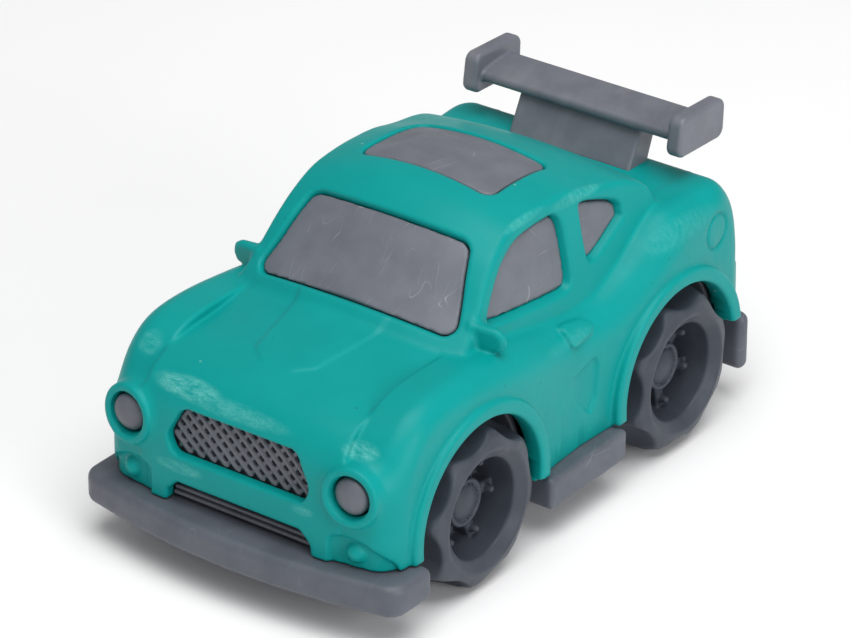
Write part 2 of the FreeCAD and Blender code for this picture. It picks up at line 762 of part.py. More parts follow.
# ---------------------------------------------------------------- wheels and axles
def make_wheel(name, axle_y, side, phase):
    """A moulded wheel: tread pockets, deep dish, hub with a cap and six lugs with studs."""
    body = new_body(name + "_body")
    profile = sketch_on(body, "XY_Plane", name + "_profile")
    outline(profile, (
        ("0", "axle_radius"), ("0", "3.0"), ("3.2", "3.0"), ("3.2", "12.0"), ("0", "12.8"),
        ("0", "wheel_radius - 0.8"), ("0.8", "wheel_radius"), ("10.0", "wheel_radius"),
        ("12.6", "wheel_radius - 0.8"), ("13.4", "13.5"), ("wheel_width", "11.3"),
        ("12.6", "9.2"), ("4.7", "8.8"), ("4.7", "4.4"), ("9.4", "4.4"), ("9.4", "3.4"),
        ("10.0", "1.5"), ("10.0", "0"), ("7.0", "0"), ("7.0", "axle_radius")))
    solid = body.newObject("PartDesign::Revolution", name + "_turned")
    solid.Profile = profile
    solid.ReferenceAxis = (origin_of(body, "X_Axis"), [""])
    solid.Angle = 360
    lug = sketch_on(body, "YZ_Plane", name + "_lug_sketch", "4.5")
    outline(lug, (("4.0", "-1.2"), ("8.9", "-1.2"), ("8.9", "1.2"), ("4.0", "1.2")))
    around(body, extrude(body, "Pad", lug, name + "_lug", "3.2"), name + "_lugs", "X_Axis",
           "wheel_lugs")
    stud = sketch_on(body, "YZ_Plane", name + "_stud_sketch", "7.5")
    circle(stud, "7.0", "0", "0.8")
    around(body, extrude(body, "Pad", stud, name + "_stud", "1.5"), name + "_studs", "X_Axis",
           "wheel_lugs")
    pocket = sketch_on(body, "YZ_Plane", name + "_pocket_sketch", "9.8")
    circle(pocket, "wheel_radius - pocket_depth + pocket_radius", "0", "pocket_radius")
    dent = extrude(body, "Pocket", pocket, name + "_dent", "12")
    around(body, dent, name + "_tread", "X_Axis", "tread_pockets")
    inner_x = dim("wheel_face_x") - dim("wheel_width")
    turn = Rotation(Vector(1, 0, 0), phase)
    if side < 0:
        turn = Rotation(Vector(0, 0, 1), 180) * turn
    body.Placement = Placement(Vector(side * inner_x, axle_y, dim("axle_height")), turn)
    node(body, name)


def make_wheels_and_axles():
    for end, phase in (("front", -5.0), ("rear", -22.0)):
        axle_y = dim(end + "_axle_y")
        axle = rod(end + "_axle_rod", "axle_radius", "axle_half_length * 2",
                   ("-1 * axle_half_length", end + "_axle_y", "axle_height"), ALONG_X)
        node(axle, end + "_axle")
        make_wheel(end + "_wheel_left", axle_y, 1, phase)
        make_wheel(end + "_wheel_right", axle_y, -1, -phase)


# ---------------------------------------------------------------- clockwork motor
PRESSURE_ANGLE = math.radians(20)


def pitch_radius(teeth):
    return dim("module") * teeth / 2


def shaft_places():
    """Places (y, z) of the motor's shafts; the rear axle is the train's last shaft."""
    axle = Vector(0, dim("rear_axle_y"), dim("axle_height"))
    rise = dim("spring_axis_z") - axle.z
    spring = axle + Vector(0, -math.sqrt(dim("shaft_spacing") ** 2 - rise ** 2), rise)
    along = (spring - axle).normalize()
    above = Vector(0, along.z, -along.y)
    compound = on_both(axle, along, above,
                       pitch_radius(dim("axle_teeth") + dim("compound_teeth")),
                       pitch_radius(dim("pinion_teeth") + dim("spring_teeth")))
    winding = on_both(axle, along, above * -1, dim("winding_spacing"),
                      pitch_radius(dim("winding_teeth") + dim("spring_teeth")))
    return {"axle": axle, "compound": compound, "spring": spring, "winding": winding}


def on_both(start, along, aside, near, far):
    """The point at distance near from start and far from the shaft at the line's other end."""
    spacing = dim("shaft_spacing")
    run = (near ** 2 - far ** 2 + spacing ** 2) / (2 * spacing)
    return start + along * run + aside * math.sqrt(near ** 2 - run ** 2)


def involute_angle(base, radius):
    """Polar angle that an involute has turned through at a radius."""
    roll = math.sqrt(max((radius / base) ** 2 - 1, 0))
    return roll - math.atan(roll)


def gear_face(teeth, first_angle, centre, x):
    """An involute gear's outline as a face; one tooth points along first_angle."""
    pitch = pitch_radius(teeth)
    base = pitch * math.cos(PRESSURE_ANGLE)
    tip = pitch + dim("module")
    root = pitch - 1.25 * dim("module")
    start = max(base, root)
    thin = dim("gear_backlash") / (2 * pitch)
    half_pitch = math.pi / (2 * teeth) + involute_angle(base, pitch) - thin
    radii = [start + (tip - start) * step / 4 for step in range(5)]
    flank = [(radius, half_pitch - involute_angle(base, radius)) for radius in radii]
    corners = []
    for tooth in range(int(teeth)):
        middle = first_angle + 2 * math.pi * tooth / teeth
        sides = [(root, -half_pitch)] if root < base else []
        sides += [(radius, -angle) for radius, angle in flank]
        sides += [(radius, angle) for radius, angle in reversed(flank)]
        sides += [(root, half_pitch)] if root < base else []
        corners += [Vector(x, centre.y + radius * math.cos(middle + angle),
                           centre.z + radius * math.sin(middle + angle))
                    for radius, angle in sides]
    return Part.Face(Part.makePolygon(corners + [corners[0]]))


def gear(teeth, first_angle, centre, x_low, x_high):
    return gear_face(teeth, first_angle, centre, x_low).extrude(Vector(x_high - x_low, 0, 0))


def mesh_angle(mover, mover_teeth, mover_angle, driven, driven_teeth):
    """Tooth angle that puts the driven gear in mesh with the mover."""
    line = driven - mover
    towards = math.atan2(line.z, line.y)
    off = (towards - mover_angle) * mover_teeth
    return towards + math.pi + (off + math.pi) / driven_teeth


def x_disc(radius, x_low, x_high, centre):
    start = Vector(x_low, centre.y, centre.z)
    return Part.makeCylinder(radius, x_high - x_low, start, Vector(1, 0, 0))


# Layers of the gear train across the car, from the case's left wall
BIG_GEAR_LAYER = (-5.9, -3.7)
PINION_LAYER = (-3.7, -0.9)
SMALL_GEAR_LAYER = (-3.1, -1.1)
SPRING_LAYER_START = -0.3


def make_gears():
    """Axle gear, compound gear, spring gear and winding gear, all in mesh at rest."""
    places = shaft_places()
    axle_angle = 0.0
    big_angle = mesh_angle(places["axle"], dim("axle_teeth"), axle_angle,
                           places["compound"], dim("compound_teeth"))
    spring_angle = mesh_angle(places["compound"], dim("pinion_teeth"), big_angle,
                              places["spring"], dim("spring_teeth"))
    winding_angle = mesh_angle(places["spring"], dim("spring_teeth"), spring_angle,
                               places["winding"], dim("winding_teeth"))
    pin_bore = dim("pin_radius") + dim("running_clearance")
    wide = (BIG_GEAR_LAYER[0], PINION_LAYER[1])

    axle_gear = gear(dim("axle_teeth"), axle_angle, places["axle"], *wide)
    feature("axle_gear", axle_gear.cut(x_disc(dim("axle_radius"), -20, 20, places["axle"])))

    big = gear(dim("compound_teeth"), big_angle, places["compound"], *BIG_GEAR_LAYER)
    pinion = gear(dim("pinion_teeth"), big_angle, places["compound"], *PINION_LAYER)
    compound = big.fuse([pinion]).cut(x_disc(pin_bore, -20, 20, places["compound"]))
    feature("compound_gear", compound)

    spring = gear(dim("spring_teeth"), spring_angle, places["spring"], *SMALL_GEAR_LAYER)
    hub = x_disc(2.1, SMALL_GEAR_LAYER[1], SPRING_LAYER_START + dim("spring_width"), places["spring"])
    spring = spring.fuse([hub]).cut(x_disc(dim("arbor_radius"), -20, 20, places["spring"]))
    feature("spring_gear", spring)

    winding = gear(dim("winding_teeth"), winding_angle, places["winding"], *SMALL_GEAR_LAYER)
    feature("winding_gear", winding.cut(x_disc(pin_bore, -20, 20, places["winding"])))


def make_pins():
    """Steel pins through both side walls: fixed ones for the free gears, and the arbor."""
    places = shaft_places()
    x_low = dim("case_left_x") + 0.2
    x_high = dim("case_left_x") + dim("case_width") - 0.2
    feature("compound_pin", x_disc(dim("pin_radius"), x_low, x_high, places["compound"]))
    feature("winding_pin", x_disc(dim("pin_radius"), x_low, x_high, places["winding"]))
    feature("spring_arbor", x_disc(dim("arbor_radius"), x_low, x_high, places["spring"]))


def make_mainspring():
    """A flat strip coiled in a spiral round the spring gear's hub."""
    centre = shaft_places()["spring"]
    inner = dim("spring_inner_radius")
    growth = (dim("spring_outer_radius") - inner) / dim("spring_turns")
    steps = 24

    def spiral(offset):
        spots = []
        for step in range(int(dim("spring_turns")) * steps + 1):
            angle = 2 * math.pi * step / steps
            radius = inner + growth * step / steps + offset
            spots.append(Vector(SPRING_LAYER_START + 0.2, centre.y + radius * math.cos(angle),
                                centre.z + radius * math.sin(angle)))
        curve = Part.BSplineCurve()
        curve.interpolate(spots)
        return curve.toShape(), spots

    inside, inside_spots = spiral(0)
    outside, outside_spots = spiral(dim("spring_strip"))
    ends = [Part.LineSegment(inside_spots[index], outside_spots[index]).toShape()
            for index in (0, -1)]
    wire = Part.Wire(Part.__sortEdges__([inside, ends[0], outside, ends[1]]))
    strip = Part.Face(wire).extrude(Vector(dim("spring_width") - 0.4, 0, 0))
    feature("mainspring", strip)


def corner_posts():
    """Places (y, z) of the screw posts in the case's four corners."""
    wall = dim("case_wall")
    inset = 1.0
    return [(y, z)
            for y in (dim("case_front_y") + wall + inset, dim("case_rear_y") - wall - inset)
            for z in (dim("case_bottom") + wall + inset, dim("case_top") - wall - inset)]


def shaft_bores():
    places = shaft_places()
    play = dim("running_clearance")
    return [x_disc(dim("axle_radius") + play, -20, 20, places["axle"]),
            x_disc(dim("arbor_radius") + play, -20, 20, places["spring"]),
            x_disc(dim("pin_radius"), -20, 20, places["compound"]),
            x_disc(dim("pin_radius"), -20, 20, places["winding"])]


def make_motor_case():
    """A tray that holds the train, and a cover plate screwed onto its open side."""
    wall = dim("case_wall")
    x_low = dim("case_left_x")
    x_high = x_low + dim("case_width")
    split = x_high - wall
    front, rear = dim("case_front_y"), dim("case_rear_y")
    bottom, top = dim("case_bottom"), dim("case_top")
    block = slab(x_low, front, bottom, split, rear, top)
    room = slab(x_low + wall, front + wall, bottom + wall, split + 1, rear - wall, top - wall)
    posts = [Part.makeCylinder(dim("corner_post_radius"), split - x_low, Vector(x_low, y, z),
                               Vector(1, 0, 0)) for y, z in corner_posts()]
    tray = block.cut(room.cut(posts))
    ears = []
    floor_top = dim("floor_bottom") + dim("floor_thickness")
    half = dim("ear_width") / 2
    for y in (front - dim("ear_length"), rear):
        ears.append(slab(-half, y, floor_top, half, y + dim("ear_length"),
                         floor_top + dim("ear_thickness")))
    tray = tray.fuse(ears)
    drills = [Part.makeCylinder(0.7, 6.0, Vector(split - 6.0, y, z), Vector(1, 0, 0))
              for y, z in corner_posts()]
    mounts = [Part.makeCylinder(dim("screw_radius") + 0.1, 30, Vector(x, y, 0))
              for x, y in mount_places()]
    tray = tray.cut(shaft_bores() + drills + mounts)
    feature("motor_case", tray.removeSplitter())
    cover = slab(split, front, bottom, x_high, rear, top)
    drills = [Part.makeCylinder(0.9, 6.0, Vector(split - 1, y, z), Vector(1, 0, 0))
              for y, z in corner_posts()]
    feature("motor_cover", cover.cut(shaft_bores() + drills))


def make_motor_screws():
    """Four small screws in the cover, and two that hold the ears to the pan."""
    x_high = dim("case_left_x") + dim("case_width")
    items = []
    for index, (y, z) in enumerate(corner_posts(), start=1):
        head = rod("cover_screw_%d_head" % index, "1.4", "0.9", (x_high, y, z), ALONG_X)
        shank = rod("cover_screw_%d_shank" % index, "0.7", "6", (x_high - 6, y, z), ALONG_X)
        items.append(fused("cover_screw_%d" % index, [head, shank]))
    node(group("cover_screw_group", items), "motor_cover_screws")
    seat = dim("floor_bottom") + dim("floor_thickness") + dim("ear_thickness")
    items = [screw("mount_screw_%d" % index, x, y, seat, 4.4, False, "screw_radius - 0.1")
             for index, (x, y) in enumerate(mount_places(), start=1)]
    node(group("mount_screw_group", items), "motor_mount_screws")


def check_and_write():
    """Stop on any failed object, then write one file for each sub-part."""
    doc.recompute()
    for item in doc.Objects:
        if "Invalid" in item.State or "Error" in item.State:
            raise RuntimeError("failed object: " + item.Name)
    os.makedirs("parts", exist_ok=True)
    for item in NODES:
        if item.Shape.isNull() or not item.Shape.isValid() or not item.Shape.Solids:
            raise RuntimeError("bad shape: " + item.Label)
        item.Shape.exportStep("parts/%s.step" % item.Label)
        print(item.Label, len(item.Shape.Solids), round(item.Shape.Volume, 1))


make_body_shell()
make_window_insert()
make_grille_insert()
make_chassis()
make_chassis_screws()
make_spoiler()
make_spoiler_screws()
make_wheels_and_axles()
make_motor_case()
make_motor_screws()
make_gears()
make_pins()
make_mainspring()
check_and_write()
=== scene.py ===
"""Looks of the pull-back toy car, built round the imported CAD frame.

Lengths in the shape functions are millimetres in the part's own frame: +Z up, nose towards -Y,
the car's left side towards +X.  Meshes are scaled to metres when they are made.
"""
import math

import bpy
import numpy as np
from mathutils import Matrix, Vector


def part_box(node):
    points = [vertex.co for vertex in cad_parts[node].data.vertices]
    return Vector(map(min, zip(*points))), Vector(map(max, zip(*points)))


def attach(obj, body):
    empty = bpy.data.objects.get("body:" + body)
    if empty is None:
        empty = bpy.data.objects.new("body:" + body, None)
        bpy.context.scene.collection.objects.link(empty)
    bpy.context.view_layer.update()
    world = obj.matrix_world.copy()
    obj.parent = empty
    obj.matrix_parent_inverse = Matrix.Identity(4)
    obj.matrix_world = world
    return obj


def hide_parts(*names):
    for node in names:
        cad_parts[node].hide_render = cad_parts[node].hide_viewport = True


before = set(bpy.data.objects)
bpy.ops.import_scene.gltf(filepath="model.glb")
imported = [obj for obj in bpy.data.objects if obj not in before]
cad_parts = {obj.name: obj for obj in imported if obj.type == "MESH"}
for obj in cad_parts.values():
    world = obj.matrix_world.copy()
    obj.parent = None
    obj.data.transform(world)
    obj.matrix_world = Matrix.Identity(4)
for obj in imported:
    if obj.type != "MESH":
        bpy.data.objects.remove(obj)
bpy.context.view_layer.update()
MM = 0.001
Y, Z = 1, 2


def node_middle(node_name, axis):
    """Middle of a CAD node along one axis, in millimetres."""
    low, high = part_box(node_name)
    return round((low[axis] + high[axis]) / 2 / MM, 2)


# ------------------------------------------------------------------ signed-distance tools
def smooth_min(a, b, k):
    """Union of two fields with a fillet of about k."""
    blend = np.maximum(k - np.abs(a - b), 0) / k
    return np.minimum(a, b) - blend * blend * k * 0.25


def smooth_max(a, b, k):
    """Intersection of two fields with its edge rounded by about k."""
    return -smooth_min(-a, -b, k)


def round_both(a, b, radius):
    """Intersection of two fields whose shared edge has a true radius."""
    over_a = np.maximum(a + radius, 0)
    over_b = np.maximum(b + radius, 0)
    return np.sqrt(over_a ** 2 + over_b ** 2) + np.minimum(np.maximum(a, b) + radius, 0) - radius


def step_between(low, high, x):
    """Smooth step from 0 at low to 1 at high."""
    share = np.clip((x - low) / (high - low), 0, 1)
    return share * share * (3 - 2 * share)


def outside_range(value, low, high):
    """Distance outside the range from low to high, negative inside it."""
    return np.abs(value - (low + high) / 2) - (high - low) / 2


def block(x, y, z, low, high, radius):
    """A box with rounded edges between two corners."""
    gaps = [outside_range(value, a, b) for value, a, b in zip((x, y, z), low, high)]
    over = [np.maximum(gap + radius, 0) for gap in gaps]
    inner = np.minimum(np.maximum(np.maximum(gaps[0], gaps[1]), gaps[2]) + radius, 0)
    return np.sqrt(over[0] ** 2 + over[1] ** 2 + over[2] ** 2) + inner - radius


def curve_through(points, pieces):
    """A closed Catmull-Rom curve through points, in short straight pieces."""
    spots = np.array(points, float)
    count = len(spots)
    out = []
    for i in range(count):
        a, b, c, d = (spots[(i + j) % count] for j in (-1, 0, 1, 2))
        for share in np.arange(pieces) / pieces:
            out.append(0.5 * (2 * b + (c - a) * share + (2 * a - 5 * b + 4 * c - d) * share ** 2
                              + (3 * b - a - 3 * c + d) * share ** 3))
    return np.array(out)


def rounded_corners(points, radii, pieces=6):
    """A closed outline of straight sides with an arc of its own radius at each corner."""
    spots = np.array(points, float)
    count = len(spots)
    out = []
    for i, corner in enumerate(spots):
        back = spots[i - 1] - corner
        onward = spots[(i + 1) % count] - corner
        back /= np.linalg.norm(back)
        onward /= np.linalg.norm(onward)
        half = math.acos(np.clip(back @ onward, -1, 1)) / 2
        radius = radii[i] if isinstance(radii, (list, tuple)) else radii
        bisector = (back + onward) / np.linalg.norm(back + onward)
        centre = corner + bisector * radius / math.sin(half)
        start = corner + back * radius / math.tan(half) - centre
        finish = corner + onward * radius / math.tan(half) - centre
        for share in np.linspace(0, 1, pieces):
            spoke = start * (1 - share) + finish * share
            out.append(centre + spoke / np.linalg.norm(spoke) * radius)
    return np.array(out)


class Outline:
    """Signed distance to a closed outline, kept on a fine grid and read by interpolation."""

    def __init__(self, path, pitch=0.25, margin=7.0):
        self.low = path.min(0) - margin
        self.pitch = pitch
        size = ((path.max(0) + margin - self.low) / pitch).astype(int) + 2
        u = (self.low[0] + pitch * np.arange(size[0]))[:, None]
        v = (self.low[1] + pitch * np.arange(size[1]))[None, :]
        nearest = np.full(size, 1e9)
        inside = np.zeros(size, bool)
        for start, finish in zip(path, np.roll(path, -1, axis=0)):
            run = finish - start
            share = ((u - start[0]) * run[0] + (v - start[1]) * run[1]) / max(run @ run, 1e-12)
            share = np.clip(share, 0, 1)
            gap = (u - start[0] - share * run[0]) ** 2 + (v - start[1] - share * run[1]) ** 2
            nearest = np.minimum(nearest, gap)
            if start[1] != finish[1]:
                spans = (start[1] > v) != (finish[1] > v)
                crossing = start[0] + (v - start[1]) * run[0] / run[1]
                inside ^= spans & (u < crossing)
        self.field = np.where(inside, -1, 1) * np.sqrt(nearest)

    def __call__(self, u, v):
        u, v = np.broadcast_arrays(u, v)
        shape = self.field.shape
        s = (u - self.low[0]) / self.pitch
        t = (v - self.low[1]) / self.pitch
        inner_s = np.clip(s, 0, shape[0] - 1.001)
        inner_t = np.clip(t, 0, shape[1] - 1.001)
        i = inner_s.astype(int)
        j = inner_t.astype(int)
        a = inner_s - i
        b = inner_t - j
        field = self.field
        near = field[i, j] * (1 - b) + field[i, j + 1] * b
        far = field[i + 1, j] * (1 - b) + field[i + 1, j + 1] * b
        outside = np.hypot(s - inner_s, t - inner_t) * self.pitch
        return near * (1 - a) + far * a + outside


CORNERS = [(i, j, k) for i in (0, 1) for j in (0, 1) for k in (0, 1)]
EDGES = [(a, b) for a in CORNERS for b in CORNERS
         if sum(b) - sum(a) == 1 and all(q >= p for p, q in zip(a, b))]


def sample(field, low, size, pitch):
    """The field on a grid, a few planes at a time."""
    y = (low[1] + pitch * np.arange(size[1]))[None, :, None]
    z = (low[2] + pitch * np.arange(size[2]))[None, None, :]
    grid = np.empty(size, np.float32)
    planes = 12
    for start in range(0, size[0], planes):
        stop = min(start + planes, size[0])
        x = (low[0] + pitch * np.arange(start, stop))[:, None, None]
        grid[start:stop] = field(x, y, z)
    return grid


def surface(field, low, high, pitch, settle=2):
    """Vertices and quads of a field's zero surface, by surface nets and Newton steps."""
    low = np.array(low, float)
    size = tuple(((np.array(high) - low) / pitch).astype(int) + 2)
    grid = sample(field, low, size, pitch)
    inside = grid < 0
    cells = tuple(n - 1 for n in size)
    total = np.zeros(cells, np.int8)
    for i, j, k in CORNERS:
        total += inside[i:i + cells[0], j:j + cells[1], k:k + cells[2]]
    mixed = (total > 0) & (total < 8)
    where = np.argwhere(mixed)
    index = np.full(cells, -1, np.int64)
    index[mixed] = np.arange(len(where))
    moved = np.zeros((len(where), 3))
    count = np.zeros(len(where))
    for a, b in EDGES:
        value_a = grid[where[:, 0] + a[0], where[:, 1] + a[1], where[:, 2] + a[2]]
        value_b = grid[where[:, 0] + b[0], where[:, 1] + b[1], where[:, 2] + b[2]]
        cross = (value_a < 0) != (value_b < 0)
        share = np.where(cross, value_a / np.where(cross, value_a - value_b, 1), 0)
        spot = np.array(a) + share[:, None] * (np.array(b) - np.array(a))
        moved[cross] += spot[cross]
        count += cross
    points = low + (where + moved / count[:, None]) * pitch
    quads = []
    for axis in range(3):
        u, v = [(1, 2), (2, 0), (0, 1)][axis]
        near = [slice(1, -1)] * 3
        near[axis] = slice(0, -1)
        far = list(near)
        far[axis] = slice(1, None)
        before = inside[tuple(near)]
        after = inside[tuple(far)]
        spots = np.argwhere(before != after)
        facing = before[before != after]
        spots[:, u] += 1
        spots[:, v] += 1
        ring = []
        for du, dv in ((1, 1), (0, 1), (0, 0), (1, 0)):
            cell = spots.copy()
            cell[:, u] -= du
            cell[:, v] -= dv
            ring.append(index[cell[:, 0], cell[:, 1], cell[:, 2]])
        ring = np.stack(ring, 1)
        ring[~facing] = ring[~facing][:, ::-1]
        quads.append(ring)
    quads = np.concatenate(quads)
    for _ in range(settle):
        points = settled(field, points, pitch)
    return points, quads


def settled(field, points, pitch):
    """One Newton step of points towards the field's zero, at most a third of a cell."""
    probe = 0.03
    least_steepness = 0.2
    here = field(*points.T)
    slope = np.stack([
        (field(*(points + probe * way).T) - field(*(points - probe * way).T)) / (2 * probe)
        for way in np.eye(3)], 1)
    steepness = np.maximum((slope ** 2).sum(1), least_steepness)
    move = -(here / steepness)[:, None] * slope
    length = np.linalg.norm(move, axis=1, keepdims=True)
    return points + move * np.minimum(1, pitch / 3 / np.maximum(length, 1e-9))


# ------------------------------------------------------------------ objects
def make_object(name, points, faces, material, smooth=True):
    """A mesh object from points in millimetres."""
    mesh = bpy.data.meshes.new(name)
    mesh.vertices.add(len(points))
    mesh.vertices.foreach_set("co", (np.asarray(points) * MM).astype(np.float32).ravel())
    faces = np.asarray(faces)
    mesh.loops.add(faces.size)
    mesh.loops.foreach_set("vertex_index", faces.astype(np.int32).ravel())
    mesh.polygons.add(len(faces))
    starts = np.arange(len(faces), dtype=np.int32) * faces.shape[1]
    mesh.polygons.foreach_set("loop_start", starts)
    mesh.update(calc_edges=True)
    mesh.validate()
    mesh.polygons.foreach_set("use_smooth", [smooth] * len(mesh.polygons))
    item = bpy.data.objects.new(name, mesh)
    bpy.context.scene.collection.objects.link(item)
    mesh.materials.append(material)
    return item


MOST_TRIANGLES = 190000
MOST_WHEEL_TRIANGLES = 120000


def thin_out(item, most_triangles):
    """Collapse edges on flat stretches until the mesh has at most so many triangles."""
    triangles = sum(len(face.vertices) - 2 for face in item.data.polygons)
    if triangles <= most_triangles:
        return
    modifier = item.modifiers.new("thin_out", "DECIMATE")
    modifier.ratio = most_triangles / triangles
    graph = bpy.context.evaluated_depsgraph_get()
    mesh = bpy.data.meshes.new_from_object(item.evaluated_get(graph))
    item.modifiers.clear()
    item.data = mesh
    mesh.polygons.foreach_set("use_smooth", [True] * len(mesh.polygons))


def fixed_piece(name, field, low, high, pitch, material, slot, node_name):
    """A piece made from a signed-distance field, riding on the root in place of a CAD node."""
    item = make_object(name, *surface(field, low, high, pitch), material)
    thin_out(item, MOST_TRIANGLES)
    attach(item, "root")
    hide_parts(node_name)


# ------------------------------------------------------------------ body form, in millimetres
FRONT_WHEEL_Y = node_middle("front_axle", Y)
REAR_WHEEL_Y = node_middle("rear_axle", Y)
AXLE_Z = node_middle("front_axle", Z)
ARCH_RADIUS = 16.8
ARCH_LIP_RADIUS = 18.2
ARCH_LIP_HALF = 1.4
FRONT_LIP_FACE = 32.0
REAR_LIP_FACE = 31.9
WALL = 2.2
BODY_HALF = 31.0
FENDER_FROM = 20.9
BONNET_TO = 21.3
SILL_TOP = 12.4
FRONT_BASE = 13.3
REAR_BASE = 17.8
BACK_OF_NOSE = -48.0
LAMP_FACE_Y = -54.6
LAMP_X = 23.75
LAMP_Z = 27.2
LAMP_RING_RADIUS = 4.65
LAMP_HOLE_RADIUS = 3.7
LAMP_DOME_RADIUS = 3.35
FOG_X = 23.9
FOG_Y = -51.9
FOG_Z = 16.2
MIRROR_Y = -18.2
FILLER_Y = 44.7
FILLER_Z = 37.8
FILLER_RADIUS = 3.3
SCREEN_FOOT_Y = -24.1
SCREEN_FOOT_Z = 43.5

# Crest of the fenders and the haunches, seen from the side (y, z)
FLANK = Outline(curve_through((
    (-54.1, 0), (-54.2, 14), (-54.1, 21), (-53.5, 27), (-52.0, 31), (-49.4, 34.8), (-46, 37.7),
    (-42, 39.6), (-37, 40.5), (-30, 40.6), (-24, 40.3), (-18, 39.9), (-12, 39.3), (-6, 38.2),
    (0, 37.2), (6, 36.6), (12, 36.8), (17, 38.2), (22, 40.4), (27, 43.2), (32, 45.6), (36, 46.3),
    (42, 46.5), (46.5, 46.2), (49.5, 44.8), (52.2, 41.6), (53.8, 37.8), (54.7, 33), (55.0, 28),
    (55.2, 14), (55.2, 0)), 8))
# Bonnet and deck along the middle of the car (y, z)
SPINE = Outline(curve_through((
    (-54.4, 0), (-54.4, 14), (-54.4, 22), (-54.2, 28), (-53.5, 32.2), (-51.8, 35.4),
    (-48.6, 37.8), (-44, 39.2), (-38, 40.3), (-30, 41.3), (-25, 42.0), (-14, 42.6), (0, 43.0),
    (16, 44.4), (30, 45.6), (40, 46.2), (47, 45.9), (50.6, 44), (53.2, 40.4), (55, 35),
    (55.6, 29), (55.7, 22), (55.7, 10), (55.7, 0)), 8))
# Windscreen, roof and tail of the cabin along the middle of the car (y, z)
ROOF = Outline(curve_through((
    (-28.5, 39), (-26.2, 42.3), (-22.3, 46), (-18.4, 49.6), (-14.9, 53.6), (-11.2, 56.9),
    (-6.4, 59.6), (-1, 60.5), (5, 60.6), (12.5, 59.8), (20.7, 57.3), (26, 55.2), (30.5, 52.8),
    (32.6, 51.2), (33.8, 49.4), (35, 46.5), (36.5, 42), (38, 36), (39, 26), (10, 24),
    (-24, 28)), 8))
DECK_Z = 46.0


def edge_radius(y):
    """Radius of the shoulder and the plan corners: tight at both ends, wider at the haunch."""
    return 4.6 + 2.2 * step_between(-36, -6, y) - 2.2 * step_between(38, 50, y)


def half_width(y):
    """Half width of the body, drawn in at the doors and at the tail."""
    waist = 1.2 * np.exp(-((y - 4) / 13.0) ** 2)
    return BODY_HALF - waist - 1.3 * step_between(30, 55, y)


def side_profiles(x, y, z):
    """Distances to the fenders' profile and to the bonnet's, both swept back at the nose."""
    side = np.abs(x)
    swept = 0.006 * np.maximum(side - 12, 0) ** 2 * step_between(-38, -50, y)
    crown = (1.0 + 0.9 * step_between(-46, -33, y)) * step_between(34, 16, y)
    return FLANK(y - swept, z), SPINE(y - swept, z + crown * (side / 21.0) ** 2)


def lower_body(x, y, z):
    """Fenders, bonnet, doors, haunches and deck, without openings."""
    side = np.abs(x)
    flank, spine = side_profiles(x, y, z)
    flank = round_both(flank, side - half_width(y), edge_radius(y))
    flank = smooth_max(flank, FENDER_FROM - 5.0 * step_between(-46, -50, y) - side, 0.8)
    spine = smooth_max(spine, side - BONNET_TO, 0.5)
    return smooth_max(smooth_min(flank, spine, 0.5), z - DECK_Z, 0.8)


def body_hollow(x, y, z, plain):
    """The room inside the moulding, cleared across the seam of fenders and bonnet too."""
    seam = np.maximum(np.maximum(*side_profiles(x, y, z)), z - DECK_Z) + 0.4
    seam_x = (FENDER_FROM + BONNET_TO) / 2
    seam = np.maximum(seam, np.abs(np.abs(x) - seam_x) - 3.0 - WALL)
    return np.minimum(plain, seam) + WALL


def cabin_side(x, y, z):
    """Distance outside the leaning side plane of the cabin."""
    half = 24.4 - 0.2 * (z - 40) + 0.035 * np.maximum(y - 5, 0)
    return (np.abs(x) - half) * 0.98


def cabin(x, y, z):
    """Windscreen, roof and pillars, without openings."""
    crown = 3.7 - 2.3 * step_between(14, 32, y)
    return round_both(ROOF(y, z + crown * (x / 21.0) ** 2), cabin_side(x, y, z), 0.8)


def solid_body(x, y, z):
    """The whole outer form as a filled solid, before openings and small reliefs."""
    return smooth_min(lower_body(x, y, z), cabin(x, y, z), 0.8)


# ------------------------------------------------------------------ openings and reliefs
def mirrored(half_outline):
    """An outline symmetric about x = 0 from its left half, top first."""
    return list(half_outline) + [(-u, v) for u, v in reversed(half_outline)]


# The windscreen is drawn in its own sloping plane, the roof panel and the scoop in plan (x, y),
# what shows from the side as (y, z) and what shows from the front as (x, z)
GLASS_SLOPE = np.array([1.0, 1.0]) / math.sqrt(2)
WINDSCREEN = Outline(rounded_corners(mirrored([(17.0, 17.4), (22.0, 0)]), [3.2, 2.6, 2.6, 3.2]))
ROOF_PANEL = Outline(rounded_corners(mirrored([(14.4, -2.2), (14.1, 16.3)]), 2.5))
DOOR_WINDOW = Outline(curve_through(
    ((-15.3, 44.1), (-14.6, 42.5), (-12.6, 41.9), (-4, 40.8), (4.6, 39.9), (7.4, 40.2), (8.5, 42.0),
     (8.7, 46.7), (8.4, 51.6), (7, 53.9), (4.6, 54.4), (-3.4, 54.1), (-8.3, 52.1), (-12, 48.7)), 6))
QUARTER_WINDOW = Outline(curve_through(
    ((14, 53.5), (16.5, 53.1), (22.3, 51.1), (24.5, 49.4), (24.7, 48.0), (24.1, 46.5), (16.8, 42.9),
     (14.4, 42.5), (13.5, 43.6), (13.2, 47.0), (13.2, 50.3), (13.3, 53.0)), 6))
GRILLE = Outline(rounded_corners(
    mirrored([(12.2, 31.8), (15.4, 25.8), (13.9, 22.7)]), [2.6, 2.8, 1.8, 1.8, 2.8, 2.6]))
LOWER_GRILLE = Outline(rounded_corners(
    mirrored([(13.2, 17.5), (15.3, 15.4), (16.0, 8.0)]), [0.9, 1, 0.5, 0.5, 1, 0.9]))
